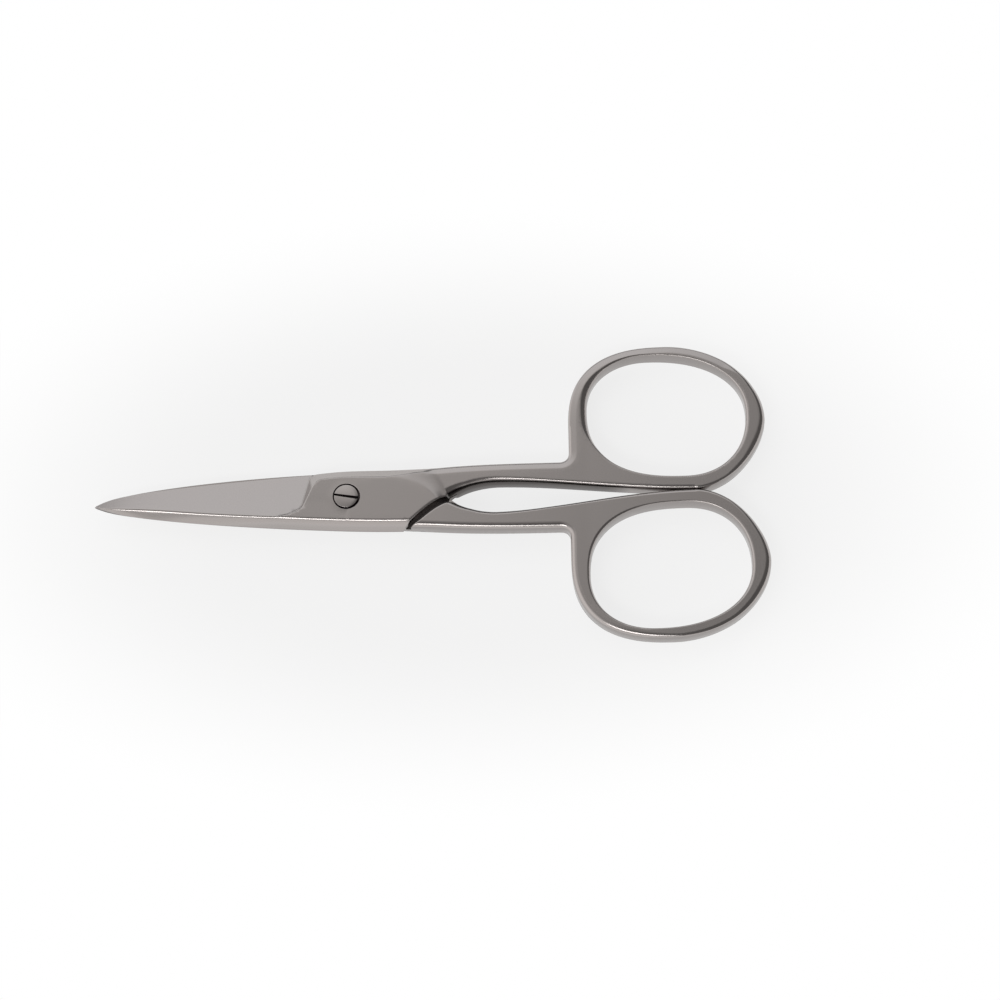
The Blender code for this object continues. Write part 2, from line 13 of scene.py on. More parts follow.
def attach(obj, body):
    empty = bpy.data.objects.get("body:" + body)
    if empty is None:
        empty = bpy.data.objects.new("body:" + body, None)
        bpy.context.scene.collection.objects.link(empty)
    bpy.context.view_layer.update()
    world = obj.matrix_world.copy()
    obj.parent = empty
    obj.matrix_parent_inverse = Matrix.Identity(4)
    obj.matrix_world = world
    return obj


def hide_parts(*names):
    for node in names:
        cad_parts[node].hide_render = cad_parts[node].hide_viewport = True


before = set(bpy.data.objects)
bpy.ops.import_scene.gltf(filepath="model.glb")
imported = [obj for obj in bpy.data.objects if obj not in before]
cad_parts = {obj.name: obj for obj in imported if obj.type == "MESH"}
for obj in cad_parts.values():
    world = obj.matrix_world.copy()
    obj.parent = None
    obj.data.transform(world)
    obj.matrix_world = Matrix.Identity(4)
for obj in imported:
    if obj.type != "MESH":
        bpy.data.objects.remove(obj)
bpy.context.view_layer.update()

MM = 0.001


def mm(*lengths):
    """Lengths in millimetres, as metres."""
    return tuple(length * MM for length in lengths)


# Thickness
THICKNESS = 3.57 * MM
SHANK_THICKNESS = 2.85 * MM
RING_THICKNESS = 2.65 * MM
TIP_THICKNESS = 1.40 * MM
LAP_GAP = 0.08 * MM
MIDDLE = THICKNESS / 2
LAP_FACE = MIDDLE + LAP_GAP / 2

# Blade
BLADE_LENGTH = 33.8 * MM
SPINE_LEVEL_FROM_PIVOT = 9.0 * MM
EDGE_WIDTH = 4.05 * MM
SPINE_SLOPE_WIDTH = 1.10 * MM
SPINE_SLOPE_AT_TIP = 0.55
SPINE_TOP_SLOPE = 0.75
RIDGE_ROUNDING = SPINE_SLOPE_WIDTH / 4
SPINE_LAND = 0.12 * MM
EDGE_THICKNESS = 0.15 * MM
GRIND_DEPTH = 0.03 * MM
HEEL_FROM_PIVOT = 5.82 * MM
HEEL_LEAN = 0.23
HEEL_CORNER_LENGTH = 3.9 * MM
HEEL_CORNER_WIDTH = 1.75 * MM
HEEL_CORNER_START = 0.9 * MM
HEEL_SLOPE = 0.85
HEEL_LEAST_TURN = 0.15
TAPER_FROM_PIVOT = 9.0 * MM
NOSE_SLOPE = 0.8
POINT_SHARE = 0.35
POINT_LENGTH = 1.1 * MM
GROUND_SLOPE = 0.33
GROUND_SLOPE_CREASE = 0.06
LEAST_THICKNESS = 0.06 * MM

# Joint plate
PLATE_CHAMFER = 1.30 * MM
CHAMFER_SPAN = mm(-1.0, 5.5)
CHAMFER_END = mm(5.5, 12.0)
SHOULDER_FROM_PIVOT = 7.45 * MM
SHOULDER_GAP_SHARES = (0.0, 0.7, 1.0)
SHOULDER_GAPS = mm(0.78, 0.68, 0.40)
STEP_OVERRUN = 4 * MM
STEP_ROUNDING = 0.22 * MM
FACET = 0.70 * MM
FACET_LENGTH = 1.3 * MM
END_ROUNDING = 0.20 * MM
PLATEAU_CENTRE = np.array(mm(5.4, -5.94))
PLATEAU_RADIUS = 8.59 * MM
SLOPE_LENGTH_AT_CROTCH = 0.8 * MM
SLOPE_LENGTH_AT_CHAMFER = 2.4 * MM
SLOPE_LENGTH_SPAN = mm(-0.5, 3.0)

# Shank
SHANK_WIDTH = 2.68 * MM
SHANK_NECK = 4.27 * MM
EYE_HALF_HEIGHT = 1.98 * MM
NECK_FROM_PIVOT = 12.6 * MM
EYE_TOP_FROM_PIVOT = 20.0 * MM
ROOT_FILLET = 1.3 * MM

# Finger ring
RING_END_FROM_PIVOT = 55.85 * MM
HOLE_LENGTH = 21.2 * MM
HOLE_WIDTH = 17.6 * MM
WALL_AT_SHANK = 2.5 * MM
WALL_AT_END = 2.55 * MM
WALL_OUTSIDE = 1.3 * MM
WALL_AT_CONTACT = 1.8 * MM
RING_GAP = 0.12 * MM
HOLE_TOP_SHIFT = -2.0 * MM
HOLE_BOTTOM_SHIFT = 2.1 * MM
HOLE_LEFT_SHIFT = 1.15 * MM
CONTACT_SHIFT = 3.8 * MM
SIDE_SHIFT = -1.4 * MM
END_SHIFT = -0.6 * MM
HOLE_FULLNESS = 2.2
HOLE_FULLNESS_AT_SHANK = 2.5
RING_FULLNESS_AT_CONTACT = 1.72
RING_FULLNESS_AT_END = 1.94
RING_FULLNESS_AT_SHANK = 2.55
HOLE_RIGHT = RING_END_FROM_PIVOT - WALL_AT_END
HOLE_LEFT = HOLE_RIGHT - HOLE_LENGTH
HOLE_BOTTOM = RING_GAP / 2 + WALL_AT_CONTACT
HOLE_TOP = HOLE_BOTTOM + HOLE_WIDTH
HOLE_CENTRE = np.array([(HOLE_LEFT + HOLE_RIGHT) / 2, (HOLE_BOTTOM + HOLE_TOP) / 2])
RING_SIDE = np.array([HOLE_LEFT - WALL_AT_SHANK, HOLE_CENTRE[1] + SIDE_SHIFT])
CONTACT = np.array([HOLE_CENTRE[0] + CONTACT_SHIFT, RING_GAP / 2])

# Ways in which the outline leaves its corners, and the reach of its curves' handles as shares
# of the span that each one bends over
SHOULDER_START_WAY = np.array([0.72, 0.70])
SHOULDER_START_REACH = 0.40
SHOULDER_END_WAY = np.array([0.99, 0.14])
SHOULDER_END_REACH = 0.25
EYE_START_REACH = np.array([0.295, 0.77])
EYE_RISE_REACH = 0.325
EYE_TOP_REACH = 0.31
CONTACT_REACH = 0.385
ROOT_REACH = 0.6
SHANK_REACH = 0.32
NECK_WAY = np.array([1, 0.076])
NECK_REACH = 0.26
PLATE_REACH = 0.30
PLATE_BACK_REACH = 0.18
HEEL_REACH = 0.15
BOW_AT_NECK = 0.8

# Rims
CROWN_WIDTH = 1.0 * MM
CROWN_SLOPE = 0.27
CROWN_CREASE = 0.12 * MM
SHANK_ROUNDING = 0.40 * MM
EYE_AT = mm(13.6, 16.0, 20.0, 27.0)
EYE_ROUNDING = mm(1.2, 0.8, 0.75, 0.50)
RING_ROUNDING = 0.28 * MM
RING_ROUNDING_INSIDE = 0.45 * MM
RING_INSIDE_SPAN = mm(38.0, 44.0)
RING_ROUNDING_AT_END = 0.80 * MM
RING_DEPTH_AT_END = 1.6
RING_END_SPAN = mm(51.0, 54.5)
HOLE_ROUNDING = 0.20 * MM
HOLE_ROUNDING_AT_ENDS = 0.45 * MM
HOLE_DEPTH = 1.5
HOLE_BEVEL = 0.75 * MM
HOLE_BEVEL_INSIDE = 0.25 * MM
HOLE_BEVEL_SLOPE = 0.75
HOLE_BEVEL_WAY = np.array([-0.99, 0.14])
HOLE_BEVEL_SPAN = (0.80, 0.97)
HOLE_CREASE = 0.10 * MM
EYE_FLATTENS = mm(27.0, 42.0)
INNER_EYE_AT = mm(13.7, 14.4, 16.5, 20.0, 27.0)
INSIDE_ROUNDING = 0.80 * MM
EDGE_BREAK = 0.08 * MM

# Soft creases between faces: how wide each is rounded, and where the corner's gets its width
PLATEAU_CREASE = 0.05 * MM
CORNER_CREASE = 1.1 * MM
RIDGE_CREASE = 0.16 * MM
FOOT_CREASE = 0.3 * MM
HEEL_CREASE = 0.12 * MM
CORNER_START = 0.4 * MM

# Pivot screw
HEAD_RADIUS = 1.60 * MM
HEAD_HEIGHT = 0.85 * MM
HEAD_GAP = 0.20 * MM
HEAD_SHIFT = np.array(mm(-0.06, 0.03))
SHOULDER_RADIUS = 1.20 * MM
RELIEF_DEPTH = 0.08 * MM
RELIEF_HEIGHT = 0.05 * MM
RUNNING_CLEARANCE = 0.05 * MM
SEAT_CLEARANCE = 0.03 * MM
THREAD_RADIUS = 1.00 * MM
THREAD_DEPTH = 0.20 * MM
THREAD_PITCH = 0.40 * MM
THREAD_CLEARANCE = 0.03 * MM
ENTRY_HEIGHT = 0.12 * MM
ENTRY_WIDENING = 0.05 * MM
TAIL_CHAMFER = 0.05 * MM
SLOT_DEPTH = 0.45 * MM
SLOT_WIDTH_AT_LEFT = 0.24 * MM
SLOT_WIDTH_AT_RIGHT = 0.46 * MM
SLOT_ANGLE = math.radians(-10)

# Sampling
DENSE = 400
SPACING = 0.28 * MM
FILL = 0.6 * MM
ROUND_POINTS = 96
THREAD_ROWS = 8
RIM_SHARES = (0.004, 0.017, 0.067, 0.146, 0.25, 0.37, 0.5, 0.63, 0.76, 0.88, 0.96, 1.0, 1.04, 1.15)
STEP_SHARES = (-1.6, -1.0, -0.85, -0.7, -0.5, -0.35, 0.35, 0.5, 0.7, 0.85, 1.0, 1.6)
RIM_GUARD = 0.15 * MM
CREASE_OFFSETS = (-0.2, -0.1, -0.05, -0.02, 0.0, 0.02, 0.05, 0.1, 0.2)
CROWN_OFFSETS = (-0.3, -0.12, -0.06, 0.0, 0.06, 0.12)
REFINEMENTS = 3
HEIGHT_ERROR = 0.0015 * MM
LEAST_EDGE = 0.06 * MM
MERGE = 0.012 * MM
CHUNK = 2048
NEIGHBOURS = 5
ROW_SHARE = 0.985
ROW_SLACK = 1e-9
CREASE_START = 0.5 * MM
GRID_REACH = 1.3
TIP_MARGIN = 2 * MM
REFINED_EDGE = 3 * LEAST_EDGE
PLAN_SLACK = 1e-7
TINY = 1e-15
SHARP_ANGLE = math.radians(35)
SINK_BREAK = 0.04 * MM
HEAD_BREAK = 0.06 * MM
HEAD_BREAK_SHARES = (0, 0.3, 0.7, 1.0)

# Steel finish, with the painted shade in its recess and on its walls
STEEL_COLOUR = (0.438, 0.413, 0.400)
ROUGHNESS = 0.2
ROUGHNESS_SWING = 0.05
CLOUD_SCALE = 90.0
CLOUD_DETAIL = 3.0
CLOUD_TINT = 0.03
# The near-black that the painted shade and the dark skin between the shanks darken the steel towards
SHADE_AND_SKIN_COLOUR = (0.03, 0.026, 0.024, 1.0)
# Painted shade in the screw's recess: within this reach of the pivot and below the top face, the steel is
# darkened almost to black
RECESS_SHADE_REACH = mm(1.82, 1.9)
RECESS_SHADE_LEVEL = (THICKNESS - 0.16 * MM, THICKNESS - 0.07 * MM)
RECESS_SHADE_SHARE = 0.92
# The upright walls between the shanks: a dark unground skin, and painted shade where the two shanks shade
# each other
SKIN_AND_SHADE_UPRIGHT = (0.55, 0.75)
SKIN_AND_SHADE_START = mm(11.5, 13.0)
SKIN_AND_SHADE_END = mm(34, 40)
SKIN_AND_SHADE_REACH = mm(2.6, 2.9)
SKIN_AND_SHADE_SHARE = 0.8
# Painted shade: every steep wall a little darker than the level faces
WALL_SHADE_UPRIGHT = (0.15, 0.45)
WALL_SHADE_SHARE = 0.27
GRAIN_STRETCH = (1.0, 14.0, 14.0)
GRAIN_SCALE = 900.0
GRAIN_DETAIL = 2.0
GRAIN_SHARE = 0.5
GRAIN_STRENGTH = 0.04
GRAIN_DEPTH = 0.00001

# Stage
FLOOR_SIZE = 4.0
FLOOR_DROP = 0.02 * MM
FLOOR_COLOUR = (0.85, 0.85, 0.85, 1.0)
FLOOR_ROUGHNESS = 0.9
FLOOR_SHINE = 0.1
FLOOR_CENTRE = 16 * MM
FLOOR_STRETCH = (0.55, 1.0, 1.0)
WHITE = (1.0, 1.0, 1.0, 1.0)
FLOOR_PALE_TO = 18 * MM
FLOOR_WHITE_FROM = 45 * MM
FLOOR_GLOW = 0.78

# Studio surroundings: levels, and the spans of direction over which they change
SKY_WARM = (1.0, 0.985, 0.975, 1.0)
SKY_COOL = (0.975, 0.985, 1.0, 1.0)
SKY_COOL_SPAN = (0.45, 0.75)
SKY_LEFT = (0.1, 0.75, 0.42, 1.02)
SKY_RIGHT = (0.2, 0.8, 0.15, 0.95)
SKY_SIDE_SPAN = (-0.005, 0.025)
SKY_LOW_SPAN = (0.3, 0.55)
SKY_LOW = 0.3
SKY_FRONT_SPAN = (-0.3, 0.1)
SKY_LOW_FRONT = 0.95
SKY_DARK_SPAN = (0.2, 0.5)
SKY_DARK = 0.15
SKY_BRIGHT_SPAN = (-0.75, -0.35)
SKY_BRIGHT = 1.1
SKY_VIEWER = (0.08, -0.37, 0.93)
SKY_VIEWER_SPAN = (0.93, 0.975)
SKY_HORIZON_SPAN = (0.03, 0.08)
WINDOW_PLACE = Vector((-0.150, -0.455, 0.480))
WINDOW_AIM = Vector((0.011, 0, 0))
WINDOW_SIZE = (0.36, 0.16)
WINDOW_RADIANCE = 4.0

# Camera, solved from the photograph's outlines
CAMERA_TILT = math.radians(22.04)
CAMERA_AZIMUTH = math.radians(5.07)
CAMERA_ROLL = math.radians(-0.79)
CAMERA_DISTANCE = 423.7 * MM
CAMERA_TARGET = Vector((20.25 * MM, 0.28 * MM, 0))
CAMERA_LENS = 114.29
CAMERA_CLIP = (0.01, 20)
SENSOR_WIDTH = 36.0


# How the two hand-ground halves differ: the blade's curves, the plate, the shank's bow and the eye
Half = namedtuple("Half", "spine_width spine_fullness spine_belly edge_fullness plate_width"
                          " chamfer_slope bow crotch outer_depth inner_depth inner_eye")
FRONT = Half(spine_width=4.38 * MM, spine_fullness=0.60, spine_belly=0.17 * MM, edge_fullness=0.48,
             plate_width=4.03 * MM, chamfer_slope=0.80, bow=-0.30 * MM,
             crotch=mm(13.6, -0.20), outer_depth=2.4, inner_depth=1.6,
             inner_eye=mm(0.15, 0.15, 0.30, 0.55, 0.50))
REAR = Half(spine_width=4.00 * MM, spine_fullness=0.50, spine_belly=0.36 * MM, edge_fullness=0.55,
            plate_width=4.12 * MM, chamfer_slope=1.0, bow=0.33 * MM,
            crotch=mm(13.8, 0.20), outer_depth=0.30, inner_depth=2.4,
            inner_eye=mm(1.3, 1.1, 0.75, 0.75, 0.50))


joined = np.concatenate


def pairs(x, y):
    return np.stack([x, y], 1)


def mix(a, b, share):
    return a + (b - a) * share


def soft_min(a, b, width):
    """The lower of two heights, with a rounded crease between them."""
    share = np.clip(0.5 + 0.5 * (b - a) / width, 0, 1)
    return mix(b, a, share) - width * share * (1 - share)


def soft_max(a, b, width):
    return -soft_min(-a, -b, width)


def span_share(value, start, end):
    """How far a value has come from a start to an end, from 0 to 1."""
    return np.clip((value - start) / (end - start), 0, 1)


def soft_share(value, width):
    """A ramp from 0 to 1 with both of its corners rounded."""
    return soft_min(soft_max(value, 0.0, width), 1.0, width)


# Outline curves

def point_share(x):
    """How much of its full curves the blade keeps beside its sharper point."""
    return mix(1.0, POINT_SHARE, np.exp(-np.clip(x + BLADE_LENGTH, 0, None) / POINT_LENGTH))


def spine_at(x, half):
    """Distance of the blade's spine from the centre line."""
    along = np.clip((x + BLADE_LENGTH) / BLADE_LENGTH, 0, 1)
    growth = (half.spine_width * half.spine_fullness - 4 * half.spine_belly) / BLADE_LENGTH
    past = np.clip(x, 0, SPINE_LEVEL_FROM_PIVOT)
    rise = growth * past * (1 - past / SPINE_LEVEL_FROM_PIVOT / 2)
    belly = half.spine_belly * 4 * along * (1 - along)
    return (half.spine_width * along ** half.spine_fullness + belly) * point_share(x) + rise


def edge_at(x, half):
    along = np.clip((x + BLADE_LENGTH) / BLADE_LENGTH, 0, None)
    return EDGE_WIDTH * along ** half.edge_fullness * point_share(x)


def bezier(start, leave, arrive, end):
    t = np.linspace(0, 1, DENSE)[:, None]
    corners = [np.array(v, float) for v in (start, leave, arrive, end)]
    weights = [(1 - t) ** 3, 3 * t * (1 - t) ** 2, 3 * t * t * (1 - t), t ** 3]
    return sum(w * c for w, c in zip(weights, corners))


def quarter(start, end, first_along_x, fullness):
    """A quarter of a rounded ring from one extreme point to the next."""
    angle = np.linspace(0, math.pi / 2, DENSE)
    falling = np.abs(np.cos(angle)) ** (2 / fullness)
    rising = np.sin(angle) ** (2 / fullness)
    if first_along_x:
        return pairs(mix(start[0], end[0], rising), mix(end[1], start[1], falling))
    return pairs(mix(end[0], start[0], falling), mix(start[1], end[1], rising))


def spine_curve(half):
    x = np.linspace(0, 1, DENSE) ** 2 * (BLADE_LENGTH + SHOULDER_FROM_PIVOT) - BLADE_LENGTH
    return pairs(x, -spine_at(x, half))


def edge_curve(half):
    x = np.linspace(1, 0, DENSE) ** 2 * (BLADE_LENGTH - HEEL_FROM_PIVOT) - BLADE_LENGTH
    return pairs(x, edge_at(x, half))


def shoulder_curve(half):
    """The joint plate's end, from the spine to the crotch between the shanks."""
    corner = np.array([SHOULDER_FROM_PIVOT, -spine_at(SHOULDER_FROM_PIVOT, half)])
    crotch = np.array(half.crotch)
    span = np.linalg.norm(crotch - corner)
    leave = corner + SHOULDER_START_WAY * SHOULDER_START_REACH * span
    arrive = crotch - SHOULDER_END_WAY * SHOULDER_END_REACH * span
    return bezier(corner, leave, arrive, crotch)


def eye_curves(half):
    """The shank's inner side, from the crotch to the place where the two rings meet."""
    crotch = np.array(half.crotch)
    top = np.array([EYE_TOP_FROM_PIVOT, EYE_HALF_HEIGHT + half.bow])
    leave = mix(crotch, top, EYE_START_REACH)
    before_top = top - np.array([(top[0] - crotch[0]) * EYE_RISE_REACH, 0])
    run = CONTACT[0] - top[0]
    after_top = top + np.array([run * EYE_TOP_REACH, 0])
    before_contact = CONTACT - np.array([run * CONTACT_REACH, 0])
    return [bezier(crotch, leave, before_top, top), bezier(top, after_top, before_contact, CONTACT)]


def ring_curves():
    """The ring's outside, from the meeting place to the side that faces the blades."""
    end = (RING_END_FROM_PIVOT, HOLE_CENTRE[1] + END_SHIFT)
    outside = (HOLE_CENTRE[0], HOLE_TOP + WALL_OUTSIDE)
    return [quarter(CONTACT, end, True, RING_FULLNESS_AT_CONTACT),
            quarter(end, outside, False, RING_FULLNESS_AT_END),
            quarter(outside, RING_SIDE, True, RING_FULLNESS_AT_SHANK)]


def neck_of(half):
    """Where the shank's outer side meets the joint plate."""
    return np.array([NECK_FROM_PIVOT, SHANK_NECK + half.bow * BOW_AT_NECK])


def shank_curves(half):
    """The shank's outer side, from the ring to the joint plate."""
    corner = np.array([RING_SIDE[0], EYE_HALF_HEIGHT + SHANK_WIDTH + half.bow])
    root_side = corner + np.array([0, ROOT_FILLET])
    root = corner - np.array([ROOT_FILLET, 0])
    neck = neck_of(half)
    handle = (root[0] - neck[0]) * SHANK_REACH
    return [np.linspace(RING_SIDE, root_side, DENSE),
            bezier(root_side, mix(root_side, corner, ROOT_REACH), mix(root, corner, ROOT_REACH), root),
            bezier(root, root - np.array([handle, 0]), neck + NECK_WAY * handle, neck)]


def plate_curves(half):
    """The joint plate's side beside the cutting edge, from the shank to the heel."""
    neck = neck_of(half)
    plate = np.array([0, half.plate_width])
    heel = np.array([-HEEL_FROM_PIVOT, edge_at(-HEEL_FROM_PIVOT, half)])
    run = np.array([NECK_FROM_PIVOT, 0])
    leave = neck - NECK_WAY * NECK_FROM_PIVOT * NECK_REACH
    return [bezier(neck, leave, plate + run * PLATE_REACH, plate),
            bezier(plate, plate - run * PLATE_BACK_REACH, heel + run * HEEL_REACH, heel)]


def hole_curves():
    bottom = (HOLE_CENTRE[0] + HOLE_BOTTOM_SHIFT, HOLE_BOTTOM)
    right = (HOLE_RIGHT, HOLE_CENTRE[1])
    top = (HOLE_CENTRE[0] + HOLE_TOP_SHIFT, HOLE_TOP)
    left = (HOLE_LEFT, HOLE_CENTRE[1] + HOLE_LEFT_SHIFT)
    return [quarter(bottom, right, True, HOLE_FULLNESS), quarter(right, top, False, HOLE_FULLNESS),
            quarter(top, left, True, HOLE_FULLNESS), quarter(left, bottom, False, HOLE_FULLNESS_AT_SHANK)]


def spaced(curve):
    """The curve at equal steps, without its last point."""
    steps = np.r_[0, np.cumsum(np.linalg.norm(np.diff(curve, axis=0), axis=1))]
    count = max(2, round(steps[-1] / SPACING))
    at = np.linspace(0, steps[-1], count + 1)[:-1]
    return pairs(np.interp(at, steps, curve[:, 0]), np.interp(at, steps, curve[:, 1]))


def outline(half):
    """The outline, counter-clockwise from the tip, and the names of its parts."""
    named = {"spine": [spine_curve(half)], "end": [shoulder_curve(half)], "eye": eye_curves(half),
             "ring": ring_curves(), "shank": shank_curves(half), "plate": plate_curves(half),
             "edge": [edge_curve(half)]}
    parts = [(name, spaced(curve)) for name, curves in named.items() for curve in curves]
    names = joined([[name] * len(points) for name, points in parts])
    return joined([points for _, points in parts]), names


# Widths of the outer face's flat and rounded rims, the rounded one's share and its depth for its
# width, the inner face's rim with its depth, and the width of the crown
Rims = namedtuple("Rims", "flat rounded roundness depth inner inner_depth crown",
                  defaults=(1, 1, INSIDE_ROUNDING, 1, 0))


def rims_at(points, names, half):
    """The rims along an outline, from the names of its parts."""
    x = points[:, 0]
    past_plate = span_share(x, *CHAMFER_END)
    past_facet = span_share(x, SHOULDER_FROM_PIVOT, SHOULDER_FROM_PIVOT + FACET_LENGTH)
    eye = np.interp(x, EYE_AT, EYE_ROUNDING)
    inner_eye = np.interp(x, INNER_EYE_AT, half.inner_eye)
    past_eye = span_share(x, *EYE_FLATTENS)
    depth = mix(half.outer_depth, 1.0, past_eye)
    inner_depth = mix(half.inner_depth, 1.0, past_eye)
    facet = mix(FACET, END_ROUNDING, past_facet)
    to_end = span_share(x, *RING_END_SPAN)
    inside_ring = mix(INSIDE_ROUNDING, RING_ROUNDING_INSIDE, span_share(x, *RING_INSIDE_SPAN))
    ring = mix(RING_ROUNDING, RING_ROUNDING_AT_END, to_end)
    ring_depth = mix(1.0, RING_DEPTH_AT_END, to_end)
    inner_ring = mix(inside_ring, RING_ROUNDING_AT_END, to_end)
    chamfer = mix(PLATE_CHAMFER, SHANK_ROUNDING, past_plate)
    blade_chamfer = np.minimum(chamfer, np.maximum(edge_at(x, half) / 2, EDGE_BREAK))
    choices = {
        "spine": Rims(EDGE_BREAK, EDGE_BREAK),
        "end": Rims(facet, END_ROUNDING, past_facet),
        "eye": Rims(eye, eye, 1, depth, inner_eye, inner_depth),
        "ring": Rims(ring, ring, 1, ring_depth, inner_ring, ring_depth, CROWN_WIDTH * (1 - to_end)),
        "shank": Rims(SHANK_ROUNDING, SHANK_ROUNDING, crown=CROWN_WIDTH),
        "plate": Rims(chamfer, SHANK_ROUNDING, past_plate ** 2, crown=CROWN_WIDTH * past_plate),
        "edge": Rims(blade_chamfer, EDGE_BREAK, 0),
    }
    found = np.zeros((len(Rims._fields), len(x)))
    for name, values in choices.items():
        here = names == name
        for row, value in zip(found, values):
            row[here] = np.broadcast_to(value, len(x))[here]
    rims = Rims(*found)
    from_contact = np.hypot(*(points - CONTACT).T) / CONTACT_SHIFT - 1
    return rims._replace(crown=rims.crown * np.clip(from_contact, 0, 1))


# Distances in the plan

def tree_of(points):
    tree = KDTree(len(points))
    for i, point in enumerate(points):
        tree.insert((*point, 0), i)
    tree.balance()
    return tree


def units(rows):
    return rows / np.linalg.norm(rows, axis=1)[:, None]


def nearest(points, loop, values=()):
    """Each point's distance to a closed loop, and the loop's values there."""
    tree = tree_of(loop)
    close = [[i for _, i, _ in tree.find_n((*point, 0), NEIGHBOURS)] for point in points]
    close = np.array(close, int).reshape(-1, NEIGHBOURS)
    starts = joined([close, (close - 1) % len(loop)], 1)
    span = (np.roll(loop, -1, axis=0) - loop)[starts]
    offset = points[:, None] - loop[starts]
    square = np.maximum((span ** 2).sum(2), TINY)
    share = np.clip((offset * span).sum(2) / square, 0, 1)
    gap = ((offset - share[..., None] * span) ** 2).sum(2)
    best = gap.argmin(1)
    rows = np.arange(len(points))
    start, at = starts[rows, best], share[rows, best]
    found = [mix(value[start], np.roll(value, -1)[start], at) for value in values]
    return np.sqrt(gap[rows, best]), found


def inside(points, loop):
    after = np.roll(loop, -1, axis=0)
    rise = np.where(after[:, 1] == loop[:, 1], TINY, after[:, 1] - loop[:, 1])
    result = np.empty(len(points), bool)
    for low in range(0, len(points), CHUNK):
        part = points[low:low + CHUNK, None]
        crosses = (loop[:, 1] > part[..., 1]) != (after[:, 1] > part[..., 1])
        at = loop[:, 0] + (part[..., 1] - loop[:, 1]) * (after[:, 0] - loop[:, 0]) / rise
        result[low:low + CHUNK] = (crosses & (part[..., 0] < at)).sum(1) % 2 == 1
    return result


def circle(radius):
    angle = np.arange(ROUND_POINTS) * 2 * math.pi / ROUND_POINTS
    return pairs(np.cos(angle), np.sin(angle)) * radius


# Heights of a half's two faces

def shank_half_thickness(x):
    return mix(SHANK_THICKNESS, RING_THICKNESS, span_share(x, NECK_FROM_PIVOT, HOLE_LEFT)) / 2


def half_thickness(x, y):
    """Half of the thickness: full at the joint, less at the shank, ring and tip."""
    right = np.maximum(x - PLATEAU_CENTRE[0], 0)
    past_plateau = np.hypot(right, y - PLATEAU_CENTRE[1]) - PLATEAU_RADIUS
    past_plateau = past_plateau * span_share(x, 0, PLATEAU_CENTRE[0])
    length = mix(SLOPE_LENGTH_AT_CROTCH, SLOPE_LENGTH_AT_CHAMFER, span_share(y, *SLOPE_LENGTH_SPAN))
    to_shank = soft_share(past_plateau / length, FOOT_CREASE / length)
    to_tip = span_share(-x, TAPER_FROM_PIVOT, BLADE_LENGTH)
    return mix(MIDDLE, shank_half_thickness(x), to_shank) - (MIDDLE - TIP_THICKNESS / 2) * to_tip


def rounded_drop(distance, size, depth=1.0):
    """How far a rounded rim lies below its face; the depth is a share of the rim's width."""
    into = np.clip(size - distance, 0, size)
    return depth * (size - np.sqrt(size ** 2 - into ** 2))


def hole_rounding(points):
    """Width of the finger hole's rounded rim, widest at both ends."""
    to_end = np.clip(np.abs(points[:, 0] - HOLE_CENTRE[0]) / (HOLE_LENGTH / 2), 0, 1)
    return mix(HOLE_ROUNDING, HOLE_ROUNDING_AT_ENDS, to_end ** 2)


def hole_drop(points, shape, bevel_width):
    """How far the finger hole's rim and its bevel lie below their face."""
    distance, _ = nearest(points, shape.hole)
    way = points - HOLE_CENTRE
    towards = way @ HOLE_BEVEL_WAY / np.maximum(np.linalg.norm(way, axis=1), LEAST_EDGE)
    width = bevel_width * span_share(towards, *HOLE_BEVEL_SPAN)
    bevel = HOLE_BEVEL_SLOPE * band_drop(distance, width, HOLE_CREASE)
    return rounded_drop(distance, hole_rounding(points), HOLE_DEPTH) + bevel


def band_drop(distance, width, crease):
    """How far a band that slopes by 1 lies below its face."""
    return soft_max(width - distance, 0.0, crease) * np.minimum(width / crease, 1)


def ridge_from_spine(x, half):
    """Width of the slope between the spine and the ridge."""
    return soft_min(SPINE_SLOPE_WIDTH, SPINE_SLOPE_AT_TIP * spine_at(x, half), RIDGE_ROUNDING)


def heel_corner(y):
    """How far the heel's round lower corner has turned, and the cosine of that turn."""
    turned = np.clip((-y - HEEL_CORNER_START) / HEEL_CORNER_WIDTH, 0, 1)
    return turned, np.sqrt(1 - turned ** 2)


def heel_x_at(y):
    """Where the ground face ends: a straight line with a round lower corner."""
    return HEEL_LEAN * y - HEEL_FROM_PIVOT - HEEL_CORNER_LENGTH * (1 - heel_corner(y)[1])


def past_heel(x, y):
    turned, left = heel_corner(y)
    lean = HEEL_LEAN + HEEL_CORNER_LENGTH / HEEL_CORNER_WIDTH * turned / np.maximum(left, HEEL_LEAST_TURN)
    return (x - heel_x_at(y)) / np.sqrt(1 + lean ** 2)


def ground_height(x, y, half):
    """The blade's ground face, and the slope at its heel."""
    heel = heel_x_at(y)
    blade_x = np.minimum(x, heel)
    rise = half_thickness(blade_x, 0.0) - GRIND_DEPTH
    ridge = ridge_from_spine(blade_x, half) - spine_at(blade_x, half)
    edge = edge_at(blade_x, half)
    slope = (rise - EDGE_THICKNESS) / np.maximum(edge - ridge, LEAST_THICKNESS)
    slope = soft_min(slope, GROUND_SLOPE, GROUND_SLOPE_CREASE)
    climb = soft_max(past_heel(x, y), 0.0, HEEL_CREASE) / HEEL_SLOPE
    return MIDDLE + EDGE_THICKNESS + (edge - y) * slope + climb


def spine_height(x, y, half):
    width = np.maximum(ridge_from_spine(x, half), LEAST_THICKNESS)
    share = (y + spine_at(x, half)) / width
    foot = LAP_FACE + SPINE_LAND
    climb = MIDDLE + half_thickness(x, 0.0) - foot
    bulge = np.maximum(climb - SPINE_TOP_SLOPE * width, 0) * np.maximum(share * (1 - share), 0)
    return foot + climb * share + bulge


Shape = namedtuple("Shape", "half loop rims hole")


def nearest_rims(points, shape):
    """Each point's distance to the outline, and the rims at the nearest place there."""
    distance, values = nearest(points, shape.loop, shape.rims)
    return distance, Rims(*values)


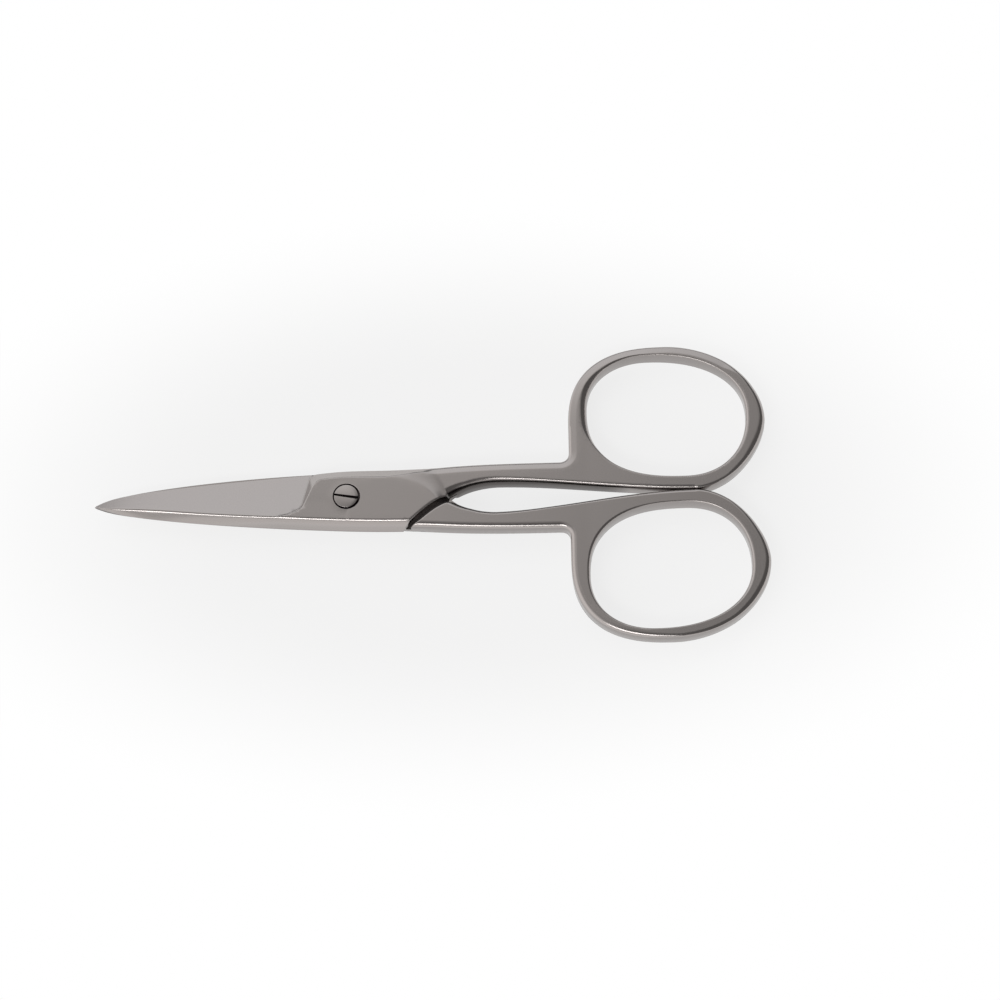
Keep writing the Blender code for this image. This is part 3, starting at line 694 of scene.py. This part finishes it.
def outer_height(points, shape):
    """Height of the face that is outside when closed."""
    x, y = points.T
    distance, rims = nearest_rims(points, shape)
    half_height = half_thickness(x, y)
    scale = half_height / MIDDLE
    face = MIDDLE + half_height
    ground = ground_height(x, y, shape.half)
    slope = mix(1.0, shape.half.chamfer_slope, span_share(x, *CHAMFER_SPAN) * (y > 0))
    sloped = face - (rims.flat - distance) * scale * slope
    crease = mix(PLATEAU_CREASE, CORNER_CREASE, np.clip(past_heel(x, y) / CORNER_START, 0, 1))
    flat_rim = soft_min(face, soft_min(sloped, ground, crease), PLATEAU_CREASE)
    round_rim = soft_min(face, ground, PLATEAU_CREASE)
    round_rim = round_rim - scale * rounded_drop(distance, rims.rounded, rims.depth)
    top = mix(flat_rim, round_rim, rims.roundness)
    top = soft_min(top, spine_height(x, y, shape.half), RIDGE_CREASE)
    nose = LAP_FACE + SPINE_LAND + (x + BLADE_LENGTH) * NOSE_SLOPE
    top = soft_min(top, nose, RIDGE_CREASE)
    crown = CROWN_SLOPE * band_drop(distance, rims.crown, CROWN_CREASE)
    top = top - scale * (hole_drop(points, shape, HOLE_BEVEL) + crown)
    return np.where(x < SHOULDER_FROM_PIVOT, np.maximum(top, LAP_FACE + LEAST_THICKNESS), top)


def inner_height(points, shape, step):
    """Height of the inner face beyond the lap."""
    distance, rims = nearest_rims(points, shape)
    half_height = shank_half_thickness(points[:, 0])
    drop = rounded_drop(distance, rims.inner, rims.inner_depth)
    drop = drop + hole_drop(points, shape, HOLE_BEVEL_INSIDE)
    drop = drop + rounded_drop(distance_to_route(points, step), STEP_ROUNDING)
    return MIDDLE - half_height + drop * half_height / MIDDLE


def distance_to_route(points, route):
    best = np.full(len(points), np.inf)
    for start, end in zip(route, route[1:]):
        span = end - start
        share = np.clip((points - start) @ span / (span @ span), 0, 1)
        best = np.minimum(best, np.linalg.norm(points - start - share[:, None] * span, axis=1))
    return best


# The step between the lap face and the inner face

def step_route(other):
    """The line that the other half's shoulder leaves, crotch end first."""
    mirrored = shoulder_curve(other)[::-1] * (1, -1)
    along = units(np.gradient(mirrored, axis=0))
    gap = np.interp(np.linspace(0, 1, DENSE), SHOULDER_GAP_SHARES, SHOULDER_GAPS)
    moved = mirrored + pairs(along[:, 1], -along[:, 0]) * gap[:, None]
    ends = moved[0] - along[0] * STEP_OVERRUN, moved[-1] + along[-1] * STEP_OVERRUN
    return joined([[ends[0]], moved, [ends[1]]])


def lap_region(route):
    low = -EDGE_WIDTH - STEP_OVERRUN
    left = -BLADE_LENGTH - TIP_MARGIN
    return joined([[(left, low), (route[0][0], low)], route, [(left, route[-1][1])]])


def crossings(loop, route):
    """Where the route crosses the loop: (place on the loop, place on the route, point)."""
    found = []
    after = np.roll(loop, -1, axis=0)
    span = after - loop
    for j, (start, end) in enumerate(zip(route, route[1:])):
        way = end - start
        offset = start - loop
        turn = span[:, 0] * way[1] - span[:, 1] * way[0]
        turn = np.where(np.abs(turn) < TINY, TINY, turn)
        on_loop = (offset[:, 0] * way[1] - offset[:, 1] * way[0]) / turn
        on_way = (offset[:, 0] * span[:, 1] - offset[:, 1] * span[:, 0]) / turn
        hits = (on_loop >= 0) & (on_loop < 1) & (on_way >= 0) & (on_way < 1)
        for i in np.nonzero(hits)[0]:
            found.append((i + on_loop[i], j + on_way[i], start + way * on_way[i]))
    return found


# Meshing

def spread(points, apart, kept):
    """The points that lie at least that far from the kept ones and from each other."""
    tree = tree_of(kept)
    free = [p for p in points if tree.find((*p, 0))[2] > apart]
    chosen = []
    cells = {}
    around = [(i, j) for i in (-1, 0, 1) for j in (-1, 0, 1)]
    for point in free:
        cell = (math.floor(point[0] / apart), math.floor(point[1] / apart))
        near = [q for i, j in around for q in cells.get((cell[0] + i, cell[1] + j), ())]
        if all((point[0] - q[0]) ** 2 + (point[1] - q[1]) ** 2 > apart ** 2 for q in near):
            cells.setdefault(cell, []).append(point)
            chosen.append(point)
    return np.array(chosen).reshape(-1, 2)


def offset_rows(loop, sizes, shares, side):
    """Rows of points beside a closed loop, at shares of the rim's size there."""
    along = units(np.roll(loop, -1, axis=0) - np.roll(loop, 1, axis=0))
    normal = pairs(-along[:, 1], along[:, 0]) * side
    return [(loop + normal * (sizes * share)[:, None], sizes * share) for share in shares]


def rim_points(shape, sizes):
    """Rows of points across every rim, left out where two rims meet."""
    found = []
    for loop, size, side, other in (
            (shape.loop, sizes, 1, shape.hole),
            (shape.hole, hole_rounding(shape.hole), -1, shape.loop)):
        rows = offset_rows(loop, size, RIM_SHARES, side)
        rows += offset_rows(loop, size + RIM_GUARD, [1.0], side)
        for points, depth in rows:
            own, _ = nearest(points, loop)
            gap, _ = nearest(points, other)
            good = (own > depth * ROW_SHARE - ROW_SLACK) & (gap > LEAST_EDGE) & within(points, shape)
            found.append(points[good])
    return joined(found)


def crown_points(shape):
    """Rows of points along the crease of the crowned band."""
    found = []
    for offset in CROWN_OFFSETS:
        widths = shape.rims.crown + offset * MM * (shape.rims.crown > 0)
        for points, depth in offset_rows(shape.loop, widths, [1.0], 1):
            own, _ = nearest(points, shape.loop)
            good = (depth > 0) & (own > depth * ROW_SHARE - ROW_SLACK) & within(points, shape)
            found.append(points[good])
    return joined(found)


def step_points(step, shape):
    """Rows of points beside the step, where its edge is rounded."""
    along = units(np.gradient(step, axis=0))
    across = pairs(along[:, 1], -along[:, 0])
    rows = joined([step + across * STEP_ROUNDING * share for share in STEP_SHARES])
    return rows[within(rows, shape)]


def within(points, shape):
    return inside(points, shape.loop) & ~inside(points, shape.hole)


def filled(points, keep):
    """The points with an even grid between them, where it is kept."""
    height = FILL * math.sqrt(0.75)
    count = round((BLADE_LENGTH + RING_END_FROM_PIVOT) / FILL)
    lowest, highest = round(-EDGE_WIDTH * GRID_REACH / height), round((HOLE_TOP + WALL_OUTSIDE) / height)
    rows = []
    for j in range(lowest, highest + 1):
        x = (np.arange(count) + j % 2 / 2) * FILL - BLADE_LENGTH
        rows.append(pairs(x, np.full(count, j * height)))
    grid = joined(rows)
    return joined([points, spread(grid[keep(grid)], FILL / 2, points)])


def crease_points(shape):
    """Rows of points along the creases between flats and slopes."""
    half = shape.half
    rows = []
    x = np.arange(-BLADE_LENGTH + CREASE_START, SHOULDER_FROM_PIVOT, SPACING)
    y = ridge_from_spine(x, half) - spine_at(x, half)
    rows += [pairs(x, y + offset * MM) for offset in CREASE_OFFSETS]
    y = np.arange(-HEEL_CORNER_START - HEEL_CORNER_WIDTH, EDGE_WIDTH, SPACING / 2)
    foot = heel_x_at(y)
    face = MIDDLE + half_thickness(foot, y)
    climb = face - ground_height(foot, y, half)
    for place in (foot, foot + climb * HEEL_SLOPE):
        rows += [pairs(place + offset * MM, y) for offset in CREASE_OFFSETS]
    turn = np.arange(0, math.pi / 2, SPACING / PLATEAU_RADIUS)[:, None]
    across = joined([np.cos(turn), np.sin(turn)], 1)
    rows += [PLATEAU_CENTRE + across * (PLATEAU_RADIUS + offset * MM) for offset in CREASE_OFFSETS]
    return joined(rows)


def triangulated(points, loops, routes=()):
    """Delaunay triangles that keep the edges of the loops and routes."""
    edges = []
    for first, count in loops:
        edges += [(first + i, first + (i + 1) % count) for i in range(count)]
    for route in routes:
        edges += list(zip(route, route[1:]))
    flat = [Vector(p) for p in points / MM]
    _, _, faces, sources, _, _ = delaunay_2d_cdt(flat, edges, [], 0, PLAN_SLACK)
    first = np.array([source[0] for source in sources])
    return first[np.array([list(face) for face in faces])]


def refined(points, loops, height, keep):
    """Adds points where flat triangles would miss the height by too much."""
    for _ in range(REFINEMENTS):
        faces = triangulated(points, loops)
        centres = points[faces].mean(1)
        good = keep(centres)
        faces, centres = faces[good], centres[good]
        flat = height(points)[faces].mean(1)
        corners = points[faces]
        longest = np.linalg.norm(corners - np.roll(corners, 1, axis=1), axis=2).max(1)
        off = np.abs(height(centres) - flat) > HEIGHT_ERROR
        extra = spread(centres[off & (longest > REFINED_EDGE)], LEAST_EDGE, points)
        if not len(extra):
            break
        points = joined([points, extra])
    return points


class Solid:
    """A closed mesh in the making: vertices, and faces as lists of vertex numbers."""

    def __init__(self):
        self.points = []
        self.faces = []

    def add(self, plan, heights):
        first = len(self.points)
        heights = np.broadcast_to(heights, len(plan))
        self.points.extend((*p, z) for p, z in zip(plan, heights))
        return list(range(first, len(self.points)))

    def strip(self, low, high):
        """Quads between two closed rows of vertices of equal length."""
        for i in range(len(low)):
            self.faces.append((low[i - 1], low[i], high[i], high[i - 1]))

    def piece(self, name, place, material):
        mesh = bpy.data.meshes.new(name)
        mesh.from_pydata([place @ Vector(p) for p in self.points], [], self.faces)
        bm = bmesh.new()
        bm.from_mesh(mesh)
        bmesh.ops.delete(bm, geom=[v for v in bm.verts if not v.link_faces], context="VERTS")
        bmesh.ops.recalc_face_normals(bm, faces=bm.faces)
        bm.to_mesh(mesh)
        bm.free()
        shade(mesh)
        mesh.materials.append(material)
        return placed(name, mesh)


def shade(mesh):
    mesh.shade_smooth()
    mesh.set_sharp_from_angle(angle=SHARP_ANGLE)


def placed(name, data):
    obj = bpy.data.objects.new(name, data)
    bpy.context.scene.collection.objects.link(obj)
    return obj


def placed_mesh(name, bm):
    mesh = bpy.data.meshes.new(name)
    bm.to_mesh(mesh)
    bm.free()
    return placed(name, mesh)


def screw_loops_front():
    """The front half's bore, from the counterbore down to the lap face."""
    seat = THICKNESS - HEAD_HEIGHT - SEAT_CLEARANCE
    bore = circle(SHOULDER_RADIUS + RUNNING_CLEARANCE)
    sink = circle(HEAD_RADIUS + HEAD_GAP)
    wide = circle(HEAD_RADIUS + HEAD_GAP + SINK_BREAK)
    return [(wide, THICKNESS), (sink, THICKNESS - SINK_BREAK), (sink, seat),
            (bore, seat), (bore, LAP_FACE)]


def thread_plan(z, clearance):
    ring = circle(1.0)
    phase = (z / THREAD_PITCH - np.arange(ROUND_POINTS) / ROUND_POINTS) % 1.0
    return ring * (THREAD_RADIUS + clearance - THREAD_DEPTH * np.abs(2 * phase - 1))[:, None]


def thread_loops(bottom, top, clearance):
    row = THREAD_PITCH / THREAD_ROWS
    steps = range(math.floor(bottom / row) + 1, math.ceil(top / row))
    return [(thread_plan(row * step, clearance), row * step) for step in steps]


def screw_loops_rear():
    """The rear half's tapped hole, from its outer face down to the lap face."""
    radius = THREAD_RADIUS + THREAD_CLEARANCE + ENTRY_WIDENING
    entry, wide = circle(radius), circle(radius + SINK_BREAK)
    start = LAP_FACE + ENTRY_HEIGHT
    end = THICKNESS - ENTRY_HEIGHT
    loops = [(wide, THICKNESS), (entry, THICKNESS - SINK_BREAK), (entry, end)]
    loops += thread_loops(start + ENTRY_HEIGHT, end, THREAD_CLEARANCE)[::-1]
    return loops + [(entry, start), (entry, LAP_FACE)]


def half_solid(half, other, screw_loops):
    """One half: outer face, inner face and lap, walls and holes."""
    route = step_route(other)
    loop, names = outline(half)
    hits = sorted(crossings(loop, route))
    for place, _, point in reversed(hits):
        at = int(place) + 1
        loop = np.insert(loop, at, point, axis=0)
        names = np.insert(names, at, names[at - 1])
    corner_numbers = [int(place) + 1 + i for i, (place, _, _) in enumerate(hits)]
    rims = rims_at(loop, names, half)
    hole = joined([spaced(curve) for curve in hole_curves()])
    shape = Shape(half, loop, rims, hole)
    count = len(loop)
    bore_first = count + len(hole)
    line_first = bore_first + ROUND_POINTS
    loops = [(0, count), (count, len(hole)), (bore_first, ROUND_POINTS)]
    at_hole, at_bore = slice(count, bore_first), slice(bore_first, line_first)

    # Outer face
    wide = screw_loops[0][0]
    fixed = joined([loop, hole, wide])

    def keep(places):
        return within(places, shape) & ~inside(places, wide)

    def height(places):
        return outer_height(places, shape)

    rows = joined([rim_points(shape, rims.flat), crown_points(shape), crease_points(shape)])
    rows = spread(rows[keep(rows)], MERGE, fixed)
    points = filled(joined([fixed, rows]), keep)
    points = refined(points, loops, height, keep)
    faces = triangulated(points, loops)
    faces = faces[keep(points[faces].mean(1))]
    solid = Solid()
    heights = height(points)
    heights[at_bore] = THICKNESS
    outer = solid.add(points, heights)
    solid.faces += [tuple(face) for face in faces.tolist()]

    # Inner face and lap
    places = sorted((way, corner) for (_, way, _), corner in zip(hits, corner_numbers))
    (start, first), (end, last) = places[:2]
    line = route[math.floor(start) + 1:math.floor(end) + 1]
    line = spaced(joined([loop[[first]], line, loop[[last]]]))[1:]
    step = joined([loop[[first]], line, loop[[last]]])
    lap = lap_region(joined([route[:1], step, route[-1:]]))
    narrow = screw_loops[-1][0]

    def beside_step(places):
        return distance_to_route(places, step) > LEAST_EDGE

    def clear(places):
        return within(places, shape) & ~inside(places, narrow) & beside_step(places)

    rows = joined([rim_points(shape, rims.inner), step_points(step, shape)])
    rows = rows[~inside(rows, lap) & beside_step(rows)]
    fixed = joined([loop, hole, narrow, line])
    points = filled(joined([fixed, spread(rows, MERGE, fixed)]), clear)
    step_numbers = [first, *range(line_first, line_first + len(line)), last]
    faces = triangulated(points, loops, [step_numbers])
    centres = points[faces].mean(1)
    good = within(centres, shape) & ~inside(centres, narrow)
    faces, on_lap = faces[good], inside(centres[good], lap)
    low = solid.add(points, inner_height(points, shape, step))
    high = solid.add(points, LAP_FACE)
    for face, lapped in zip(faces.tolist(), on_lap):
        level = high if lapped else low
        solid.faces.append(tuple(level[i] for i in face))
    for a, b in zip(step_numbers, step_numbers[1:]):
        solid.faces.append((low[a], low[b], high[b], high[a]))

    # Walls
    def foot(i, lapped):
        """The wall's lower vertices at one outline point."""
        upper = [high[i]] if lapped or i in corner_numbers else []
        return upper if lapped else upper + [low[i]]

    middles = (loop + np.roll(loop, -1, axis=0)) / 2
    for i, lapped in enumerate(inside(middles, lap)):
        j = (i + 1) % count
        solid.faces.append((outer[j], outer[i], *foot(i, lapped), *foot(j, lapped)[::-1]))
    solid.strip(low[at_hole], outer[at_hole])
    above = outer[at_bore]
    for plan, z in screw_loops[1:-1]:
        row = solid.add(plan, z)
        solid.strip(row, above)
        above = row
    solid.strip(high[at_bore], above)
    return solid


def screw_solid():
    seat = THICKNESS - HEAD_HEIGHT
    shoulder = MIDDLE - LAP_GAP / 2 + SEAT_CLEARANCE
    neck = THREAD_RADIUS - THREAD_DEPTH - RELIEF_DEPTH
    tail = THREAD_RADIUS - TAIL_CHAMFER
    loops = [(circle(tail - TAIL_CHAMFER), 0), (circle(tail), TAIL_CHAMFER), (circle(tail), ENTRY_HEIGHT)]
    loops += thread_loops(ENTRY_HEIGHT, shoulder - 2 * RELIEF_HEIGHT, 0)
    loops += [(circle(neck), shoulder - RELIEF_HEIGHT), (circle(neck), shoulder),
              (circle(SHOULDER_RADIUS), shoulder), (circle(SHOULDER_RADIUS), seat),
              (circle(HEAD_RADIUS) + HEAD_SHIFT, seat)]
    for share in HEAD_BREAK_SHARES:
        turn = share * math.pi / 2
        radius = HEAD_RADIUS - HEAD_BREAK * (1 - math.cos(turn))
        loops.append((circle(radius) + HEAD_SHIFT, THICKNESS - HEAD_BREAK * (1 - math.sin(turn))))
    solid = Solid()
    rows = [solid.add(plan, z) for plan, z in loops]
    for below, above in zip(rows, rows[1:]):
        solid.strip(below, above)
    solid.faces.append(tuple(rows[0][::-1]))
    solid.faces.append(tuple(rows[-1]))
    return solid


def cut_slot(screw):
    """Cuts the driver slot, a little wider towards its right end."""
    reach = HEAD_RADIUS + MM
    bm = bmesh.new()
    corners = []
    for z in (THICKNESS - SLOT_DEPTH, THICKNESS + MM):
        for x, width in ((-reach, SLOT_WIDTH_AT_LEFT), (reach, SLOT_WIDTH_AT_RIGHT)):
            corners += [bm.verts.new((x, y, z)) for y in (-width / 2, width / 2)]
    bmesh.ops.convex_hull(bm, input=corners)
    bmesh.ops.rotate(bm, verts=bm.verts, matrix=Matrix.Rotation(SLOT_ANGLE, 3, "Z"))
    cutter = placed_mesh("slot", bm)
    cut = screw.modifiers.new("slot", "BOOLEAN")
    cut.operation = "DIFFERENCE"
    cut.solver = "EXACT"
    cut.object = cutter
    bpy.context.view_layer.update()
    result = bpy.data.meshes.new_from_object(screw.evaluated_get(bpy.context.evaluated_depsgraph_get()))
    screw.modifiers.clear()
    screw.data = result
    shade(result)
    bpy.data.objects.remove(cutter)


# Node trees

def wired(tree):
    """Short helpers that fill an input, and make a node, a sum, a product and a ramp."""

    def put(value, entry):
        """Gives an input its value, or links it to an output."""
        if isinstance(value, bpy.types.NodeSocket):
            tree.links.new(value, entry)
        else:
            entry.default_value = value

    def node(kind, **settings):
        made = tree.nodes.new("ShaderNode" + kind)
        for key, value in settings.items():
            entry = key.replace("_", " ")
            if entry in made.inputs:
                put(value, made.inputs[entry])
            else:
                setattr(made, key, value)
        return made

    def calc(operation, *values):
        made = node("Math", operation=operation)
        for value, entry in zip(values, made.inputs):
            put(value, entry)
        return made.outputs[0]

    def product(*values):
        return reduce(lambda a, b: calc("MULTIPLY", a, b), values)

    def ramp(value, start, end, low=0.0, high=1.0):
        made = node("MapRange", interpolation_type="SMOOTHSTEP")
        for number, entry in zip((value, start, end, low, high), made.inputs):
            put(number, entry)
        return made.outputs[0]

    return put, node, calc, product, ramp


def new_material(name):
    material = bpy.data.materials.new(name)
    material.use_nodes = True
    tree = material.node_tree
    shader = tree.nodes["Principled BSDF"]
    return material, tree, shader.inputs, shader.outputs


# Steel

def steel(name, colour, seed):
    """Satin-polished steel with faint clouds and grinding lines. Painted shade darkens the screw's recess
    almost to black and all steep walls a little, and the walls between the shanks are darkened both for
    their unground skin and as painted shade."""
    material, tree, shader, _ = new_material(name)
    put, node, calc, product, ramp = wired(tree)
    put(1.0, shader["Metallic"])

    place = node("TexCoord").outputs
    shift = node("Mapping", Location=(seed, seed / 3, 0), Vector=place["Object"])
    shift = shift.outputs["Vector"]
    clouds = node("TexNoise", Scale=CLOUD_SCALE, Detail=CLOUD_DETAIL, Vector=shift)
    clouds = clouds.outputs["Fac"]
    tint = node("Mix", data_type="RGBA", Factor=clouds,
                A=(*(c * (1 - CLOUD_TINT) for c in colour), 1),
                B=(colour[0] * (1 + CLOUD_TINT), colour[1], colour[2], 1))

    x, y, z = node("SeparateXYZ", Vector=place["Object"]).outputs
    from_pivot = calc("SQRT", calc("ADD", product(x, x), product(y, y)))
    # Painted shade in the screw's recess, darker below the top face and near the pivot
    recess_shade = product(ramp(from_pivot, *RECESS_SHADE_REACH, 1.0, 0.0), ramp(z, *RECESS_SHADE_LEVEL, 1.0, 0.0), RECESS_SHADE_SHARE)
    normal = node("SeparateXYZ", Vector=place["Normal"]).outputs
    level = calc("ABSOLUTE", normal[2])
    # Walls between the shanks, darkened both for their unground skin and as painted shade between the
    # parts
    between = product(ramp(x, *SKIN_AND_SHADE_START), ramp(x, *SKIN_AND_SHADE_END, 1.0, 0.0),
                      ramp(calc("ABSOLUTE", y), *SKIN_AND_SHADE_REACH, 1.0, 0.0))
    skin_and_shade = product(ramp(level, *SKIN_AND_SHADE_UPRIGHT, 1.0, 0.0), between, SKIN_AND_SHADE_SHARE)
    # Painted shade on every steep wall, by the tilt of its face
    wall_shade = product(ramp(level, *WALL_SHADE_UPRIGHT, 1.0, 0.0), WALL_SHADE_SHARE)
    dark = calc("MAXIMUM", calc("MAXIMUM", recess_shade, skin_and_shade), wall_shade)
    tint = tint.outputs["Result"]
    # Darkens the steel towards near-black: painted shade in the recess and on steep walls, and the dark
    # skin between the shanks
    shade_and_skin_mix = node("Mix", data_type="RGBA", Factor=dark, A=tint, B=SHADE_AND_SKIN_COLOUR)
    put(shade_and_skin_mix.outputs["Result"], shader["Base Color"])

    stretch = node("Mapping", Scale=GRAIN_STRETCH, Vector=shift).outputs["Vector"]
    grain = node("TexNoise", Scale=GRAIN_SCALE, Detail=GRAIN_DETAIL, Vector=stretch)
    grain = grain.outputs["Fac"]
    wipes = node("Mix", data_type="FLOAT", Factor=GRAIN_SHARE, A=clouds, B=grain)
    rough = node("MapRange", Value=wipes.outputs["Result"],
                 To_Min=ROUGHNESS - ROUGHNESS_SWING, To_Max=ROUGHNESS + ROUGHNESS_SWING)
    put(rough.outputs["Result"], shader["Roughness"])
    bump = node("Bump", Strength=GRAIN_STRENGTH, Distance=GRAIN_DEPTH, Height=grain)
    put(bump.outputs["Normal"], shader["Normal"])
    return material


# Stage

def camera():
    towards = Vector((math.sin(CAMERA_TILT) * math.sin(CAMERA_AZIMUTH),
                      -math.sin(CAMERA_TILT) * math.cos(CAMERA_AZIMUTH), math.cos(CAMERA_TILT)))
    level = Vector((0, 1, 0)).cross(towards).normalized()
    upright = towards.cross(level)
    right = level * math.cos(CAMERA_ROLL) + upright * math.sin(CAMERA_ROLL)
    up = upright * math.cos(CAMERA_ROLL) - level * math.sin(CAMERA_ROLL)
    data = bpy.data.cameras.new("camera")
    data.lens = CAMERA_LENS
    data.sensor_width = SENSOR_WIDTH
    data.clip_start, data.clip_end = CAMERA_CLIP
    obj = placed("camera", data)
    obj.matrix_world = Matrix((right, up, towards)).transposed().to_4x4()
    obj.location = CAMERA_TARGET + towards * CAMERA_DISTANCE
    bpy.context.scene.camera = obj


def floor():
    """A pale floor that turns to plain white further out, and keeps a soft shadow."""
    bm = bmesh.new()
    bmesh.ops.create_grid(bm, x_segments=1, y_segments=1, size=FLOOR_SIZE / 2)
    obj = placed_mesh("floor", bm)
    obj.location.z = -FLOOR_DROP
    material, tree, inputs, outputs = new_material("floor")
    put, node, calc, product, ramp = wired(tree)
    put(FLOOR_COLOUR, inputs["Base Color"])
    put(FLOOR_ROUGHNESS, inputs["Roughness"])
    put(FLOOR_SHINE, inputs["Specular IOR Level"])
    rays = node("LightPath").outputs
    seen = calc("MAXIMUM", rays["Is Camera Ray"], rays["Is Glossy Ray"])
    seen = calc("MAXIMUM", seen, rays["Is Transmission Ray"])
    centre = (-FLOOR_CENTRE * FLOOR_STRETCH[0], 0, 0)
    place = node("TexCoord").outputs["Object"]
    centred = node("Mapping", Location=centre, Scale=FLOOR_STRETCH, Vector=place)
    away = node("VectorMath", operation="LENGTH", Vector=centred.outputs["Vector"])
    share = ramp(away.outputs["Value"], FLOOR_PALE_TO, FLOOR_WHITE_FROM, FLOOR_GLOW, 1.0)
    glow = node("Emission", Color=WHITE, Strength=1.0)
    mixed = node("MixShader")
    for value, entry in zip((product(seen, share), outputs[0], glow.outputs[0]), mixed.inputs):
        put(value, entry)
    put(mixed.outputs[0], tree.nodes["Material Output"].inputs["Surface"])
    obj.data.materials.append(material)


def sky():
    """Soft studio surroundings: bright behind and at the far left, dim overhead, dark at the right
    and where the viewer stands, white below the horizon."""
    world = bpy.data.worlds.new("studio")
    bpy.context.scene.world = world
    world.use_nodes = True
    put, node, _, _, ramp = wired(world.node_tree)
    place = node("TexCoord").outputs["Generated"]
    x, y, z = node("SeparateXYZ", Vector=place).outputs
    level = ramp(x, *SKY_SIDE_SPAN, ramp(y, *SKY_LEFT), ramp(y, *SKY_RIGHT))
    low_level = ramp(y, *SKY_FRONT_SPAN, SKY_LOW_FRONT, SKY_LOW)
    level = ramp(z, *SKY_LOW_SPAN, low_level, level)
    level = ramp(x, *SKY_DARK_SPAN, level, SKY_DARK)
    level = ramp(x, *SKY_BRIGHT_SPAN, SKY_BRIGHT, level)
    viewer = node("VectorMath", operation="DOT_PRODUCT", Vector=place)
    put(SKY_VIEWER, viewer.inputs[1])
    level = ramp(viewer.outputs["Value"], *SKY_VIEWER_SPAN, level, SKY_DARK)
    level = ramp(z, *SKY_HORIZON_SPAN, 1.0, level)
    tone = ramp(y, *SKY_COOL_SPAN)
    tone = node("Mix", data_type="RGBA", Factor=tone, A=SKY_WARM, B=SKY_COOL)
    background = world.node_tree.nodes["Background"].inputs
    put(level, background["Strength"])
    put(tone.outputs["Result"], background["Color"])


def window():
    """A soft panel in front, as bright as its radiance wherever it is seen."""
    data = bpy.data.lights.new("window", "AREA")
    data.shape = "RECTANGLE"
    data.size, data.size_y = WINDOW_SIZE
    data.energy = WINDOW_RADIANCE * math.pi * WINDOW_SIZE[0] * WINDOW_SIZE[1]
    obj = placed("window", data)
    obj.location = WINDOW_PLACE
    obj.rotation_euler = (WINDOW_AIM - WINDOW_PLACE).to_track_quat("-Z", "Y").to_euler()


def main():
    turned = Matrix.Translation((0, 0, THICKNESS)) @ Matrix.Rotation(math.pi, 4, "X")
    pieces = {
        "front_half": (half_solid(FRONT, REAR, screw_loops_front()), Matrix(), "front", "front_steel"),
        "rear_half": (half_solid(REAR, FRONT, screw_loops_rear()), turned, "rear", "rear_steel"),
        "pivot_screw": (screw_solid(), Matrix(), "rear", "screw_steel"),
    }
    for seed, (node, (solid, place, body, slot)) in enumerate(pieces.items()):
        piece = solid.piece(node + "_polished", place, steel(slot + "_polished", STEEL_COLOUR, seed))
        if node == "pivot_screw":
            cut_slot(piece)
        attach(piece, body)
        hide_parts(node)
    camera()
    floor()
    sky()
    window()
    bpy.context.scene.view_settings.view_transform = "Standard"


main()
